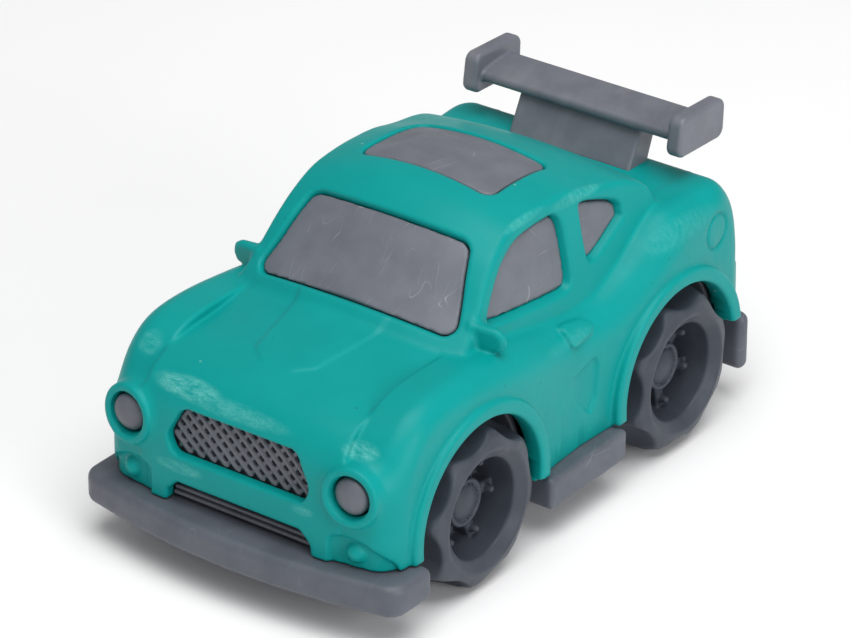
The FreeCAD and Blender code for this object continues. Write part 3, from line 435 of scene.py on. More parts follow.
FOG_POCKET = Outline(curve_through(
    ((19.3, 9), (19.2, 13), (19.3, 17.6), (20.4, 18.7), (23.4, 18.9), (26.0, 18.2), (28.2, 16.8),
     (29.9, 14.9), (30.4, 12), (30.4, 9)), 6))
BONNET_SCOOP = Outline(rounded_corners(
    mirrored([(10.2, -20.0), (6.5, -40.6), (3.4, -43.2)]), [0.4, 1, 1, 1, 1, 0.4]))
DOOR_HANDLE = Outline(rounded_corners(
    ((0.8, 33.0), (0.5, 36.2), (2.4, 36.8), (6.6, 35.7), (9.2, 34.2), (7.2, 33.0)),
    [1.0, 0.6, 1.0, 2, 0.7, 1.0]))
SIDE_INTAKE = Outline(rounded_corners(
    ((-1.2, 26.2), (7.8, 28.4), (8.8, 27.0), (8.2, 20.4), (6.6, 17.6)), [0.6, 0.6, 1.2, 1.2, 0.6]))


def screen_height(y, z):
    """Distance up the windscreen's slope from its lower edge."""
    return (y - SCREEN_FOOT_Y) * GLASS_SLOPE[0] + (z - SCREEN_FOOT_Z) * GLASS_SLOPE[1]


def window_areas(x, y, z):
    """Distances to the four kinds of window outline, each held to its own side of the car."""
    front = np.maximum(WINDSCREEN(x, screen_height(y, z)), y + 4.0)
    top = np.maximum(ROOF_PANEL(x, y), 50 - z)
    aside = 14 - np.abs(x)
    door = np.maximum(DOOR_WINDOW(y, z), aside)
    quarter = np.maximum(QUARTER_WINDOW(y, z), aside)
    return front, top, door, quarter


def wheel_gap(y, z, wheel_y):
    """Distance from a wheel's axis."""
    return np.hypot(y - wheel_y, z - AXLE_Z)


def relief(area, depth, edge):
    """How far a surface is raised inside an outline, with a soft edge."""
    return depth * step_between(edge, -edge, area)


def front_reliefs(x, y, z):
    """Fog pockets and the bonnet's raised scoop."""
    side = np.abs(x)
    pocket = relief(FOG_POCKET(side, z), -0.8, 0.4) * step_between(-46, BACK_OF_NOSE, y)
    scoop = relief(BONNET_SCOOP(x, y), 0.3, 0.5) * step_between(35, 36, z) * step_between(-18, -24, y)
    return pocket + scoop


def side_reliefs(x, y, z):
    """Door handle, side intake, filler-cap groove and the proud lower tail panel."""
    outboard = step_between(22, 25, np.abs(x))
    handle = relief(DOOR_HANDLE(y, z), 1.1, 0.35) * np.clip((10.5 - y) / 8, 0, 1)
    handle = handle * step_between(26.2, 27.2, np.abs(x))
    intake = relief(SIDE_INTAKE(y, z), -0.55, 0.35) * step_between(-1, 8, y)
    ring = np.abs(np.hypot(y - FILLER_Y, z - FILLER_Z) - FILLER_RADIUS)
    groove = -0.35 * step_between(0.45, 0.1, ring)
    tail = 0.4 * step_between(27.6, 27.0, z) * step_between(53, 54.4, y)
    return (handle + intake + groove) * outboard + tail


def lamp_radius(x, z):
    """Distance from the middle line of the headlamp on the same side."""
    return np.hypot(np.abs(x) - LAMP_X, z - LAMP_Z)


def lamp_rings(x, y, z):
    """Beads round the headlamps, and the soft swellings of the nose that carry them."""
    radius = lamp_radius(x, z)
    face = 0.12 * (np.abs(x) - LAMP_X) + 0.1 * (z - LAMP_Z) + LAMP_FACE_Y - y
    behind = y - BACK_OF_NOSE
    ring = round_both(np.abs(radius - LAMP_RING_RADIUS) - 0.75, np.maximum(face, behind), 0.5)
    swelling = smooth_max(radius - 5.0, np.maximum(face + 1.1, behind), 1.5)
    return ring, swelling


def fog_lamps(x, y, z):
    """Round-nosed bosses in the fog pockets."""
    gap = np.sqrt((np.abs(x) - FOG_X) ** 2 + (z - FOG_Z) ** 2 + (0.9 * (y - FOG_Y)) ** 2)
    return gap - 1.95


def arch_lips(x, y, z):
    """Raised lips round the wheel openings, cut off level above the bumper and the sill."""
    side = np.abs(x)
    front = wheel_gap(y, z, FRONT_WHEEL_Y)
    rear = wheel_gap(y, z, REAR_WHEEL_Y)
    front_lip = round_both(np.abs(front - ARCH_LIP_RADIUS) - ARCH_LIP_HALF, side - FRONT_LIP_FACE, 0.7)
    rear_lip = round_both(np.abs(rear - ARCH_LIP_RADIUS) - ARCH_LIP_HALF, side - REAR_LIP_FACE, 0.7)
    foot = 18.2 - 5.2 * step_between(45, 40, y)
    lips = np.maximum(np.minimum(front_lip, rear_lip), foot - z)
    return np.maximum(lips, 27.0 - side)


# Door mirror seen from the front (x, z)
MIRROR = Outline(rounded_corners(
    ((22.4, 40.9), (25.8, 39.9), (28.3, 40.0), (29.2, 41.6), (29.0, 43.2), (27.6, 44.2), (22.4, 44.7)),
    [0.5, 2, 1.0, 1.0, 1.0, 2, 0.5]))


def mirrors(x, y, z):
    """Door mirrors: leaf-shaped paddles across the car's flow, thin towards the tip."""
    middle = MIRROR_Y + 0.12 * (np.abs(x) - 25)
    thick = 1.15 - 0.1 * (np.abs(x) - 25)
    return round_both(MIRROR(np.abs(x), z), np.abs(y - middle) - thick, 0.9)


def wheel_openings(y, z):
    """Distance outside the round openings for the wheels."""
    return np.minimum(wheel_gap(y, z, FRONT_WHEEL_Y), wheel_gap(y, z, REAR_WHEEL_Y)) - ARCH_RADIUS


def base_height(y):
    """Height of the body's lower edge: on the sills, over the bumper and behind the wheels."""
    front = (FRONT_BASE - SILL_TOP) * step_between(-40, -42, y)
    rear = (REAR_BASE - SILL_TOP) * step_between(40, 42, y)
    return SILL_TOP + front + rear


def body_shell(x, y, z):
    """The finished teal moulding."""
    plain = solid_body(x, y, z)
    skin = smooth_min(plain, arch_lips(x, y, z), 0.45)
    skin = smooth_min(skin, mirrors(x, y, z), 0.9)
    skin = skin - front_reliefs(x, y, z) - side_reliefs(x, y, z)
    skin = smooth_min(skin, fog_lamps(x, y, z), 0.5)
    ring, swelling = lamp_rings(x, y, z)
    skin = smooth_min(smooth_min(skin, swelling, 2.5), ring, 0.3)
    shell = np.maximum(skin, -body_hollow(x, y, z, plain))
    cuts = [(area - 0.35 * plain) * 0.94 for area in window_areas(x, y, z)]
    nose = np.maximum(y + 44, -60 - y)
    for area in (GRILLE(x, z), LOWER_GRILLE(x, z), lamp_radius(x, z) - LAMP_HOLE_RADIUS):
        cuts.append(np.maximum(area, nose))
    openings = cuts[0]
    for cut in cuts[1:]:
        openings = np.minimum(openings, cut)
    shell = smooth_max(shell, -openings, 0.55)
    shell = np.maximum(shell, -np.maximum(wheel_openings(y, z), 17 - np.abs(x)))
    return smooth_max(shell, base_height(y) - z, 0.35)


# ------------------------------------------------------------------ inserts
PANE_GAP = 0.22
INSERT_WALL = 1.3


def window_insert(x, y, z):
    """The moulding behind the cabin's openings, with a raised pane in each of them."""
    plain = solid_body(x, y, z)
    hidden = plain + WALL + 0.15
    front, top, door, quarter = window_areas(x, y, z)
    outside = hidden
    for area, recess in ((front, 0.85), (top, 0.4), (door, 1.2), (quarter, 1.2)):
        inner = (area - 0.35 * plain) * 0.94 + PANE_GAP
        outside = np.minimum(outside, round_both(plain + recess, inner, 0.3))
    insert = np.maximum(outside, -(hidden + INSERT_WALL))
    return np.maximum(np.maximum(insert, np.abs(x) - 26.2), np.maximum(39.5 - z, y - 37.2))


BACK_PLATE_Y = -50.6
GRILLE_FACE = -52.6
BAR_PITCH = 2.6
BAR_HALF = 0.43
RIB_PITCH = 1.25
LOWEST_RIB_Z = 14.3


def grille_bars(x, y, z):
    """Two layers of leaning round-edged bars, filling the mesh grille's opening."""
    lean = math.sqrt(0.5)
    bars = []
    for sign, face in ((1, GRILLE_FACE), (-1, GRILLE_FACE + 0.3)):
        across = (x + sign * (z - 27)) * lean
        spacing = BAR_PITCH * lean
        across = across - spacing * np.round(across / spacing)
        bars.append(round_both(np.abs(across) - BAR_HALF, np.abs(y - face - 1.0) - 1.0, 0.3))
    return np.maximum(np.minimum(*bars), GRILLE(x, z) + PANE_GAP)


def lower_grille(x, y, z):
    """An upright panel with three level ribs."""
    panel = np.abs(y + 50.9) - 0.9
    height = z - LOWEST_RIB_Z
    rib = np.abs(height - RIB_PITCH * np.round(np.clip(height / RIB_PITCH, 0, 2)))
    ribs = round_both(np.abs(y + 51.8) - 1.0, rib - 0.38, 0.3)
    whole = np.maximum(smooth_min(panel, ribs, 0.3), LOWER_GRILLE(x, z) + PANE_GAP)
    return np.maximum(whole, np.maximum(13.4 - z, z - 18.2))


def lamp_domes(x, y, z):
    """Glassless headlamps: low domes on short posts."""
    radius = lamp_radius(x, z)
    ball = np.sqrt(radius ** 2 + (y - BACK_PLATE_Y) ** 2) - 4.5
    return smooth_max(smooth_max(ball, radius - LAMP_DOME_RADIUS, 0.4), y + 49.6, 0.2)


def grille_insert(x, y, z):
    """Mesh grille, lower ribs and lamp domes on a back plate behind the nose."""
    plate = np.maximum(np.abs(y - BACK_PLATE_Y) - 0.8, np.abs(x) - 27.6)
    plate = np.maximum(plate, outside_range(z, 14.4, 33.2))
    room = solid_body(x, y, z) + WALL + 0.2
    whole = np.maximum(plate, room)
    for part in (grille_bars, lower_grille, lamp_domes):
        whole = np.minimum(whole, part(x, y, z))
    return whole


# ------------------------------------------------------------------ chassis
FLOOR_Z = (5.5, 7.7)
BUMPER_Z = (7.0, 13.0)
REAR_BUMPER_Z = (6.0, 17.5)
SILL_Z = (6.4, SILL_TOP)
TUB_RADII = (17.0, 18.2)
WHEEL_ROOM_RADIUS = 16.4
AXLE_HOLE_RADIUS = 1.05
BOSS_X = 13.0
BOSS_YS = (-41.2, 47.0)
BOSS_RADIUS = 3.4
SCREW_HOLE_RADIUS = 1.3
COUNTERBORE_RADIUS = 2.4
MOTOR_SCREW_YS = (2.6, 39.6)
MOTOR_SCREW_HOLE_RADIUS = 1.0


def bumper_plan(half, end_y, middle_y, back_y, corner):
    """Plan outline of a bumper: bowed outside, straight inside, rounded corners."""
    bow = [(half * share, middle_y + (end_y - middle_y) * share ** 2)
           for share in (-0.93, -0.62, -0.31, 0, 0.31, 0.62, 0.93)]
    points = [(-half, back_y), (-half, end_y)] + bow + [(half, end_y), (half, back_y)]
    radii = [1.5, corner] + [12.0] * len(bow) + [corner, 1.5]
    return Outline(rounded_corners(points, radii))


FRONT_BUMPER = bumper_plan(34.0, -54.6, -59.0, -44.5, 3.4)
REAR_BUMPER = bumper_plan(31.3, 55.0, 59.0, 52.2, 1.6)


def wheel_tub(side, z, gap):
    """An arched wall round a wheel, open towards the wheel; gap is from the wheel's axis."""
    inner, outer = TUB_RADII
    tub = np.maximum(gap - outer, outside_range(side, 16.3, 26.4))
    tub = np.maximum(tub, -np.maximum(gap - inner, 17.5 - side))
    return np.maximum(np.maximum(tub, 3.0 - gap), 8.0 - z)


def chassis(x, y, z):
    """Pan, bumpers, sills and wheel tubs, in one moulding."""
    side = np.abs(x)
    front = round_both(FRONT_BUMPER(x, y), outside_range(z, *BUMPER_Z), 1.5)
    rear = round_both(REAR_BUMPER(x, y), outside_range(z, *REAR_BUMPER_Z), 1.8)
    sill = block(side, y, z, (24.5, -9.0, SILL_Z[0]), (32.9, 13.8, SILL_Z[1]), 0.8)
    pan = block(side, y, z, (-16.5, -52.0, FLOOR_Z[0]), (16.5, 53.0, FLOOR_Z[1]), 0.3)
    floor = block(side, y, z, (-26.5, -8.0, FLOOR_Z[0]), (26.5, 13.6, FLOOR_Z[1]), 0.3)
    whole = smooth_min(smooth_min(pan, floor, 0.2), sill, 0.5)
    whole = smooth_min(smooth_min(whole, front, 0.6), rear, 0.6)
    for wheel_y in (FRONT_WHEEL_Y, REAR_WHEEL_Y):
        gap = wheel_gap(y, z, wheel_y)
        whole = np.minimum(whole, wheel_tub(side, z, gap))
        whole = smooth_max(whole, -np.maximum(gap - WHEEL_ROOM_RADIUS, 20 - side), 0.4)
    post = block(side, y, z, (12.0, FRONT_WHEEL_Y - 3, 6.0), (15.0, FRONT_WHEEL_Y + 3, 18.6), 0.4)
    whole = np.minimum(whole, post)
    for boss_y in BOSS_YS:
        gap = np.hypot(side - BOSS_X, y - boss_y)
        boss = np.maximum(gap - BOSS_RADIUS, outside_range(z, FLOOR_Z[0], 9.6))
        whole = smooth_min(whole, boss, 0.3)
        whole = smooth_max(whole, SCREW_HOLE_RADIUS - gap, 0.2)
        whole = smooth_max(whole, -np.maximum(gap - COUNTERBORE_RADIUS, z - 8.1), 0.25)
    whole = np.maximum(whole, AXLE_HOLE_RADIUS - wheel_gap(y, z, FRONT_WHEEL_Y))
    for screw_y in MOTOR_SCREW_YS:
        whole = np.maximum(whole, MOTOR_SCREW_HOLE_RADIUS - np.hypot(x, y - screw_y))
    motor_well = block(x, y, z, (-8.0, 4.8, 3.0), (8.0, 37.4, 12.0), 0.5)
    return smooth_max(whole, -motor_well, 0.3)


# ------------------------------------------------------------------ spoiler
# Outlines seen from the side (y, z)
PEDESTAL = Outline(rounded_corners(((41.0, 45.2), (47.4, 45.2), (51.4, 55.0), (46.2, 55.0)), 0.6))
BLADE = Outline(rounded_corners(
    ((43.4, 52.9), (43.6, 55.0), (46.5, 55.5), (52.7, 56.0), (52.9, 53.8), (50.0, 53.0)),
    [1.0, 1.0, 6, 0.9, 0.8, 3]))
END_PLATE = Outline(rounded_corners(((41.2, 51.0), (42.4, 58.6), (56.2, 58.0), (55.8, 50.4)), 1.8))
PEDESTAL_HALF = 13.2
BLADE_HALF = 22.0
END_PLATE_X = 22.3
POST_X = 6.0
POST_Y = 44.4
POST_RADIUS = 1.8
POST_HOLE_RADIUS = 0.8


def spoiler(x, y, z):
    """Pedestal, blade and end plates, with two screw posts under the pedestal."""
    side = np.abs(x)
    pedestal = round_both(PEDESTAL(y, z), side - PEDESTAL_HALF, 0.6)
    blade = np.maximum(BLADE(y, z), side - BLADE_HALF)
    plate = round_both(END_PLATE(y, z), np.abs(side - END_PLATE_X) - 1.5, 0.7)
    whole = smooth_min(smooth_min(pedestal, blade, 0.5), plate, 0.5)
    gap = np.hypot(side - POST_X, y - POST_Y)
    post = np.maximum(np.maximum(gap - POST_RADIUS, POST_HOLE_RADIUS - gap), np.abs(z - 43.7) - 3.1)
    hole = np.maximum(gap - POST_HOLE_RADIUS, z - 47.6)
    return np.maximum(np.minimum(whole, post), -hole)


# ------------------------------------------------------------------ wheels
# Half section of the wheel (outwards from its inner face, away from its axis)
HUB = Outline(rounded_corners(
    ((0.0, 1.0), (0.0, 3.0), (3.2, 3.0), (3.2, 12.0), (0.0, 12.8), (0.0, 14.7), (1.0, 15.2),
     (10.0, 15.2), (12.6, 14.4), (13.4, 13.5), (14.1, 11.3), (12.6, 9.2), (4.7, 8.8), (4.7, 4.4),
     (9.4, 4.4), (9.4, 3.6), (6.9, 3.6), (6.9, 1.0)),
    [0.05, 0.3, 0.3, 0.4, 0.5, 0.5, 0.6, 1.3, 0.8, 1.0, 0.6, 0.5, 0.4, 0.4, 0.25, 0.25, 0.2, 0.05]))
LUG = Outline(rounded_corners(((4.0, -1.15), (9.0, -1.15), (9.0, 1.15), (4.0, 1.15)), 0.3))
LUG_COUNT = 6
STUD_CIRCLE_RADIUS = 7.3
POCKET_COUNT = 8
POCKET_TURN = math.radians(17)
WHEEL_INNER_X = 18.8


def in_sector(radius, angle, count):
    """Places along and beside the middle line of the nearest of count equal sectors."""
    sector = 2 * math.pi / count
    fold = angle - sector * np.round(angle / sector)
    return radius * np.cos(fold), radius * np.sin(fold)


def wheel(x, y, z):
    """One wheel about the X axis, its inner side at x = 0 and its face towards +X."""
    radius = np.hypot(y, z)
    angle = np.arctan2(z, y)
    body = HUB(x, radius)
    along, aside = in_sector(radius, angle - POCKET_TURN, POCKET_COUNT)
    pocket = np.sqrt(aside ** 2 + (along - 22.2) ** 2 + (x - 11.5) ** 2) - 9.6
    body = smooth_max(body, -pocket, 0.7)
    cap = np.sqrt((x - 3.9) ** 2 + radius ** 2) - 6.2
    cap = smooth_max(cap, radius - 3.4, 0.4)
    cap = np.maximum(cap, 6.0 - x)
    body = np.minimum(body, cap)
    along, aside = in_sector(radius, angle, LUG_COUNT)
    lug = round_both(LUG(along, aside), np.abs(x - 6.2) - 1.7, 0.3)
    body = smooth_min(body, lug, 0.4)
    gap = np.hypot(along - STUD_CIRCLE_RADIUS, aside)
    stud = smooth_max(gap - 0.85 + 0.12 * (x - 7.5), x - 9.7, 0.7)
    stud = np.maximum(stud, 5.0 - x)
    return smooth_min(body, stud, 0.3)


# ------------------------------------------------------------------ materials
class Nodes:
    """A few short calls for building a material's node tree."""

    def __init__(self, name):
        self.material = bpy.data.materials.new(name)
        self.material.use_nodes = True
        self.tree = self.material.node_tree
        self.shader = self.tree.nodes["Principled BSDF"]
        coordinates = self.tree.nodes.new("ShaderNodeTexCoord")
        self.place = coordinates.outputs["Object"]
        self.position = self.split(self.place)

    def link(self, source, socket):
        """Feed a socket from another socket, or set it to a value."""
        if hasattr(source, "links"):
            self.tree.links.new(source, socket)
        else:
            socket.default_value = source

    def split(self, vector):
        """The three parts of a vector."""
        node = self.tree.nodes.new("ShaderNodeSeparateXYZ")
        self.link(vector, node.inputs[0])
        return node.outputs

    def math(self, operation, a, b=0.0, clamp=False):
        """One sum; each of a and b is a socket or a number."""
        node = self.tree.nodes.new("ShaderNodeMath")
        node.operation = operation
        node.use_clamp = clamp
        for socket, source in zip(node.inputs, (a, b)):
            self.link(source, socket)
        return node.outputs[0]

    def ramp(self, source, low, high, bottom=0.0, top=1.0):
        """Smooth map from low..high to bottom..top."""
        node = self.tree.nodes.new("ShaderNodeMapRange")
        node.interpolation_type = "SMOOTHSTEP"
        for name, value in (("From Min", low), ("From Max", high), ("To Min", bottom), ("To Max", top)):
            node.inputs[name].default_value = value
        self.link(source, node.inputs["Value"])
        return node.outputs["Result"]

    def noise(self, scale_mm, detail=2.0, rough=0.5, stretch=None, distort=0.0):
        """Noise whose features are about scale_mm across."""
        node = self.tree.nodes.new("ShaderNodeTexNoise")
        node.inputs["Scale"].default_value = 1.0 / (scale_mm * MM)
        node.inputs["Detail"].default_value = detail
        node.inputs["Roughness"].default_value = rough
        node.inputs["Distortion"].default_value = distort
        self.link(self.stretched(stretch), node.inputs["Vector"])
        return node.outputs["Fac"]

    def cells(self, scale_mm):
        """Distance to the nearest of scattered points about scale_mm apart."""
        node = self.tree.nodes.new("ShaderNodeTexVoronoi")
        node.inputs["Scale"].default_value = 1.0 / (scale_mm * MM)
        self.link(self.place, node.inputs["Vector"])
        return node.outputs["Distance"]

    def specks(self, spacing_mm, outer, inner, patches_mm, least):
        """Small spots, kept only in those patches where a coarser noise is over least."""
        chosen = self.ramp(self.noise(patches_mm, 1.0), least, least + 0.06)
        return self.math("MULTIPLY", self.ramp(self.cells(spacing_mm), outer, inner), chosen)

    def stretched(self, stretch):
        """Object coordinates turned and scaled, for lines that run one way."""
        if stretch is None:
            return self.place
        turn, scale = stretch
        node = self.tree.nodes.new("ShaderNodeMapping")
        node.inputs["Rotation"].default_value = turn
        node.inputs["Scale"].default_value = scale
        self.link(self.place, node.inputs["Vector"])
        return node.outputs["Vector"]

    def mix(self, share, a, b):
        """Colour a, going over to colour b by share."""
        node = self.tree.nodes.new("ShaderNodeMix")
        node.data_type = "RGBA"
        self.link(share, node.inputs["Factor"])
        self.link(a, node.inputs["A"])
        self.link(b, node.inputs["B"])
        return node.outputs["Result"]

    def bump(self, height, distance_mm, strength):
        """Fine surface relief that follows height."""
        node = self.tree.nodes.new("ShaderNodeBump")
        node.inputs["Distance"].default_value = distance_mm * MM
        node.inputs["Strength"].default_value = strength
        self.link(height, node.inputs["Height"])
        self.link(node.outputs["Normal"], self.shader.inputs["Normal"])

    def finish(self, colour, roughness, specular=0.5):
        """Set the shader's main inputs and give the material."""
        self.link(colour, self.shader.inputs["Base Color"])
        self.link(roughness, self.shader.inputs["Roughness"])
        self.shader.inputs["Specular IOR Level"].default_value = specular
        return self.material


def linear(red, green, blue):
    """A display colour, 0 to 255, as the linear colour that nodes use."""
    parts = [value / 255 for value in (red, green, blue)]
    return tuple(part / 12.92 if part <= 0.04045 else ((part + 0.055) / 1.055) ** 2.4
                 for part in parts) + (1.0,)


def near(tree, centre, size):
    """1 near a point, falling to 0 at an ellipsoid's edge; both in millimetres."""
    total = None
    for axis in range(3):
        offset = tree.math("SUBTRACT", tree.position[axis], centre[axis] * MM)
        share = tree.math("DIVIDE", offset, size[axis] * MM)
        square = tree.math("MULTIPLY", share, share)
        total = square if total is None else tree.math("ADD", total, square)
    return tree.ramp(total, 0.2, 1.0, 1.0, 0.0)


def teal_plastic():
    """Satin plastic with plant-fibre specks, faint clouding, scuffs and a painted highlight along the
    left roof rail.
    """
    tree = Nodes("teal_plastic")
    base = linear(3, 143, 140)
    cloud = tree.ramp(tree.noise(9.0, 3.0), 0.3, 0.7, 0.0, 0.45)
    colour = tree.mix(cloud, base, linear(7, 150, 147))
    fibres = tree.specks(3.1, 0.10, 0.05, 4.5, 0.56)
    colour = tree.mix(tree.math("MULTIPLY", fibres, 0.55), colour, linear(20, 96, 92))
    pale_spots = tree.specks(5.3, 0.055, 0.03, 7.0, 0.57)
    colour = tree.mix(tree.math("MULTIPLY", pale_spots, 0.7), colour, linear(190, 205, 190))
    # Pale scuffs, and a painted highlight along the left roof rail, mixed into the colour
    scuffs_and_highlight = scuff_and_highlight_mask(tree)
    colour = tree.mix(scuffs_and_highlight, colour, linear(118, 200, 192))
    rough = tree.math("ADD", tree.ramp(tree.noise(2.2, 3.0), 0.2, 0.8, 0.36, 0.46),
                      tree.math("MULTIPLY", scuffs_and_highlight, 0.3))
    tree.bump(tree.noise(0.45, 2.0, 0.6), 0.012, 0.6)
    return tree.finish(colour, rough, 0.15)


# Scuffed places, and a painted highlight along the left roof rail: centre, reach along X, Y and Z, and
# strength
SCUFFS_AND_RAIL_HIGHLIGHT = (
    ((-12.0, -51.4, 34.8), (9.0, 3.0, 2.2), 0.85),
    ((-2.0, -52.4, 34.2), (14.0, 2.6, 1.8), 0.5),
    ((-12.5, -54.2, 20.6), (6.0, 2.0, 1.4), 0.6),
    ((14.0, -53.8, 21.4), (3.0, 2.0, 1.2), 0.5),
    ((23.0, -50.0, 34.0), (4.0, 3.0, 1.6), 0.8),
    ((-25.0, -46.0, 37.0), (3.0, 5.0, 2.0), 0.4),
    # These two are painted highlight, not wear: the pale line where the side light catches the left
    # roof rail
    ((21.5, -4.0, 56.6), (1.4, 10.0, 1.4), 0.5),
    ((21.8, 16.0, 55.2), (1.4, 12.0, 1.6), 0.45),
    ((29.0, 34.0, 42.0), (3.0, 13.0, 3.0), 0.25),
    ((30.0, 2.0, 34.6), (2.0, 10.0, 2.0), 0.25),
)


def scuff_and_highlight_mask(tree):
    """Places where handling has turned the surface pale, and a painted highlight along the left roof
    rail, broken up by fine noise.
    """
    total = None
    for centre, size, strength in SCUFFS_AND_RAIL_HIGHLIGHT:
        part = tree.math("MULTIPLY", near(tree, centre, size), strength)
        total = part if total is None else tree.math("MAXIMUM", total, part)
    grit = tree.ramp(tree.noise(0.22, 4.0, 0.75, ((0, 0, 0), (0.4, 1.0, 1.0))), 0.3, 0.75, 0.25, 1.0)
    drag = tree.ramp(tree.noise(0.8, 4.0, 0.7, ((0, 0, 0.2), (0.25, 1.0, 0.6))), 0.25, 0.7)
    return tree.math("MULTIPLY", total, tree.math("MULTIPLY", grit, drag), clamp=True)


def grey_plastic(name, tone, scratches=0.0, mould=0.0, specular=0.5):
    """Slate-grey satin plastic with fine dust marks; scratches adds hairlines, mould flow marks."""
    tree = Nodes(name)
    red, green, blue = tone
    dark = linear(red, green, blue)
    light = linear(red + 9, green + 9, blue + 9)
    colour = tree.mix(tree.ramp(tree.noise(6.0, 3.0), 0.3, 0.7), dark, light)
    if mould:
        streak = tree.noise(5.0, 2.0, 0.5, ((0, 0, 0), (1.0, 0.4, 0.3)), 0.8)
        colour = tree.mix(tree.ramp(streak, 0.42, 0.68, 0.0, mould), colour,
                          linear(red + 22, green + 20, blue + 16))
    dust = tree.specks(3.4, 0.06, 0.03, 6.0, 0.56)
    colour = tree.mix(tree.math("MULTIPLY", dust, 0.5), colour, linear(196, 198, 200))
    rough = tree.ramp(tree.noise(1.6, 3.0), 0.2, 0.8, 0.38, 0.50)
    if scratches:
        marks = hairlines(tree)
        colour = tree.mix(tree.math("MULTIPLY", marks, scratches), colour, linear(176, 178, 184))
    tree.bump(tree.noise(0.4, 2.0, 0.6), 0.012, 0.5)
    return tree.finish(colour, rough, specular)


def hairlines(tree):
    """Short curved hairline scratches in several directions."""
    total = None
    for index, turn in enumerate((0.5, 1.4, 2.3)):
        line = tree.noise(7.0, 0.0, 0.5, ((0.3 * index, 0.2, turn), (1.0, 0.25, 0.6)), 1.6)
        edge = tree.math("ABSOLUTE", tree.math("SUBTRACT", line, 0.5))
        thin = tree.ramp(edge, 0.0, 0.006, 1.0, 0.0)
        patch = tree.ramp(tree.noise(5.0 + index, 1.0), 0.56, 0.66)
        part = tree.math("MULTIPLY", thin, patch)
        total = part if total is None else tree.math("MAXIMUM", total, part)
    return total


def steel(name, tone, rough_low, rough_high):
    """Drawn or plated steel with fine lines along the wire."""
    tree = Nodes(name)
    colour = tree.mix(tree.noise(1.5, 3.0), linear(*tone), linear(*[value - 30 for value in tone]))
    rough = tree.ramp(tree.noise(0.8, 3.0, 0.6, ((0, 0, 0), (0.1, 1.0, 1.0))), 0.2, 0.8,
                      rough_low, rough_high)
    tree.bump(tree.noise(0.4, 2.0, 0.5, ((0, 0, 0), (0.1, 1.0, 1.0))), 0.006, 0.5)
    material = tree.finish(colour, rough)
    tree.shader.inputs["Metallic"].default_value = 1.0
    return material


def pale_plastic(name, tone):
    """Natural unfilled plastic of the motor's case and gears, slightly cloudy."""
    tree = Nodes(name)
    colour = tree.mix(tree.noise(3.0, 3.0), linear(*tone), linear(*[value - 14 for value in tone]))
    rough = tree.ramp(tree.noise(1.0, 2.0), 0.2, 0.8, 0.3, 0.42)
    tree.bump(tree.noise(0.3, 2.0), 0.008, 0.5)
    material = tree.finish(colour, rough)
    tree.shader.inputs["Subsurface Weight"].default_value = 0.15
    tree.shader.inputs["Subsurface Scale"].default_value = 0.6 * MM
    return material


# ------------------------------------------------------------------ assembly
TEAL = teal_plastic()
TRIM = grey_plastic("trim_grey", (98, 101, 110), scratches=0.5)
# Painted shade: the trim grey made darker for the front-facing grille and lamp domes, which take less
# light
SHADED_LAMP_TRIM = grey_plastic("shaded_lamp_grey", (86, 89, 97))
CHASSIS = grey_plastic("chassis_grey", (82, 86, 95), scratches=0.15, specular=0.35)
WHEEL = grey_plastic("wheel_grey", (60, 65, 74), specular=0.25)
SPOILER = grey_plastic("spoiler_grey", (98, 101, 110), mould=0.5)
STEEL = steel("axle_steel", (200, 200, 198), 0.2, 0.35)
SCREW = steel("screw_steel", (176, 172, 160), 0.28, 0.45)
SPRING = steel("spring_steel", (96, 104, 122), 0.25, 0.4)
CASE = pale_plastic("motor_plastic", (222, 220, 210))
GEAR = pale_plastic("gear_plastic", (236, 232, 214))

# name, shape, corners of its room, cell size, material, slot and the CAD node it replaces
FIXED_PIECES = (
    ("body", body_shell, (-33, -57, 11), (33, 58, 62), 0.4, TEAL, "body_teal", "body_shell"),
    ("window_panes", window_insert, (-27, -29, 39), (27, 38, 61.5), 0.4, TRIM, "trim_grey",
     "window_insert"),
    # grille and lamps keep the trim's slot but use its darker painted-shade copy
    ("grille_and_lamps", grille_insert, (-29, -56, 12.5), (29, -47.5, 34.5), 0.25, SHADED_LAMP_TRIM, "trim_grey",
     "grille_insert"),
    ("chassis_pan", chassis, (-35, -60.5, 4), (35, 60.5, 34.5), 0.45, CHASSIS, "chassis_grey",
     "chassis"),
    ("rear_wing", spoiler, (-25, 40, 39.5), (25, 56, 59.5), 0.3, SPOILER, "spoiler_grey", "spoiler"),
)
for piece in FIXED_PIECES:
    fixed_piece(*piece)


def place_wheels():
    """Four wheels from one form, turned by the angle at which their axle stands at rest."""
    pitch = 0.3
    points, quads = surface(wheel, (-0.8, -16.2, -16.2), (14.8, 16.2, 16.2), pitch)
    for end, wheel_y, phase in (("front", FRONT_WHEEL_Y, -5.0), ("rear", REAR_WHEEL_Y, -22.0)):
        for hand, sign in (("left", 1), ("right", -1)):
            name = "%s_wheel_%s" % (end, hand)
            angle = math.radians(phase)
            y = points[:, 1] * math.cos(angle) - points[:, 2] * math.sin(angle) + wheel_y
            z = points[:, 1] * math.sin(angle) + points[:, 2] * math.cos(angle) + AXLE_Z
            x = sign * (points[:, 0] + WHEEL_INNER_X)
            faces = quads if sign > 0 else quads[:, ::-1]
            item = make_object(name + "_moulding", np.stack([x, y, z], 1), faces, WHEEL)
            thin_out(item, MOST_WHEEL_TRIANGLES)
            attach(item, end + "_axle_body")
            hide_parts(name)


place_wheels()

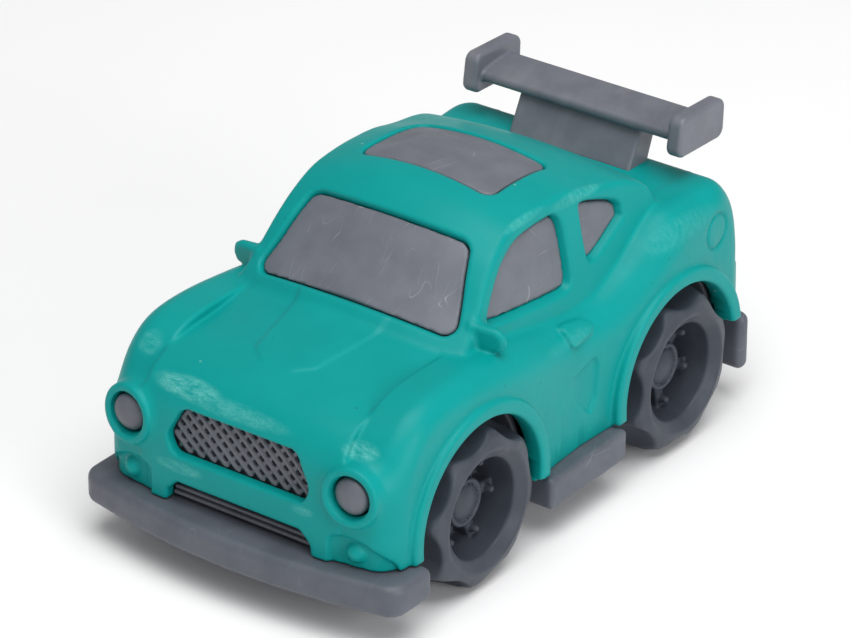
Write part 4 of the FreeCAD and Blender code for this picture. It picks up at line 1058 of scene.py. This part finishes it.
KEPT = {
    "front_axle": STEEL, "rear_axle": STEEL, "compound_pin": STEEL, "winding_pin": STEEL,
    "spring_arbor": STEEL, "chassis_screws": SCREW, "spoiler_screws": SCREW,
    "motor_cover_screws": SCREW, "motor_mount_screws": SCREW, "mainspring": SPRING,
    "motor_case": CASE, "motor_cover": CASE, "axle_gear": GEAR, "compound_gear": GEAR,
    "spring_gear": GEAR, "winding_gear": GEAR,
}
for node_name, material in KEPT.items():
    node_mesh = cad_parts[node_name].data
    node_mesh.materials.clear()
    node_mesh.materials.append(material)


# ------------------------------------------------------------------ floor, lights and camera
def pale_floor():
    """A plain, wide, nearly white floor."""
    tree = Nodes("pale_floor")
    colour = tree.mix(tree.noise(60.0, 2.0), (0.93, 0.93, 0.93, 1), (0.95, 0.95, 0.95, 1))
    tree.finish(colour, tree.ramp(tree.noise(20.0, 2.0), 0.2, 0.8, 0.7, 0.8), 0.2)
    half = 3000.0
    points = [(-half, -half, 0), (half, -half, 0), (half, half, 0), (-half, half, 0)]
    floor = make_object("floor", points, [(0, 1, 2, 3)], tree.material, smooth=False)


LIGHTS_AIM = Vector((0.0, 0.0, 0.03))


def soft_light(name, place, size, power):
    """A rectangular softbox that faces the car; metres and watts."""
    light = bpy.data.lights.new(name, "AREA")
    light.shape = "RECTANGLE"
    light.size, light.size_y = size
    light.energy = power
    item = bpy.data.objects.new(name, light)
    bpy.context.scene.collection.objects.link(item)
    item.location = place
    item.rotation_euler = (LIGHTS_AIM - Vector(place)).to_track_quat("-Z", "Y").to_euler()


def studio():
    """A big softbox above, one to the car's left side and a weak fill in front."""
    world = bpy.data.worlds.new("studio")
    world.use_nodes = True
    world.node_tree.nodes["Background"].inputs[0].default_value = (1, 1, 1, 1)
    world.node_tree.nodes["Background"].inputs[1].default_value = 0.32
    bpy.context.scene.world = world
    soft_light("top_softbox", (0.25, -0.2, 1.1), (0.9, 0.9), 11.8)
    soft_light("side_softbox", (1.15, -0.25, 0.4), (0.6, 0.6), 5.4)
    soft_light("front_fill", (-0.3, -1.2, 0.5), (0.8, 0.6), 0.5)


AZIMUTH = 0.64099
ELEVATION = 0.49471
CAMERA_DISTANCE = 0.8396
CAMERA_TARGET = Vector((-0.0006, -0.0005, 0.0297))
FOCAL_WIDTHS = 4800.0 / 851.0


def place_camera():
    """A long lens at the height and angle of a product shot, three quarters from the front."""
    back = Vector((math.sin(AZIMUTH) * math.cos(ELEVATION),
                   -math.cos(AZIMUTH) * math.cos(ELEVATION), math.sin(ELEVATION)))
    data = bpy.data.cameras.new("camera")
    data.sensor_width = 36.0
    data.lens = data.sensor_width * FOCAL_WIDTHS
    data.clip_start = 0.01
    item = bpy.data.objects.new("camera", data)
    bpy.context.scene.collection.objects.link(item)
    item.location = CAMERA_TARGET + back * CAMERA_DISTANCE
    item.rotation_euler = back.to_track_quat("Z", "Y").to_euler()
    bpy.context.scene.camera = item


pale_floor()
studio()
place_camera()
bpy.context.scene.view_settings.view_transform = "Standard"
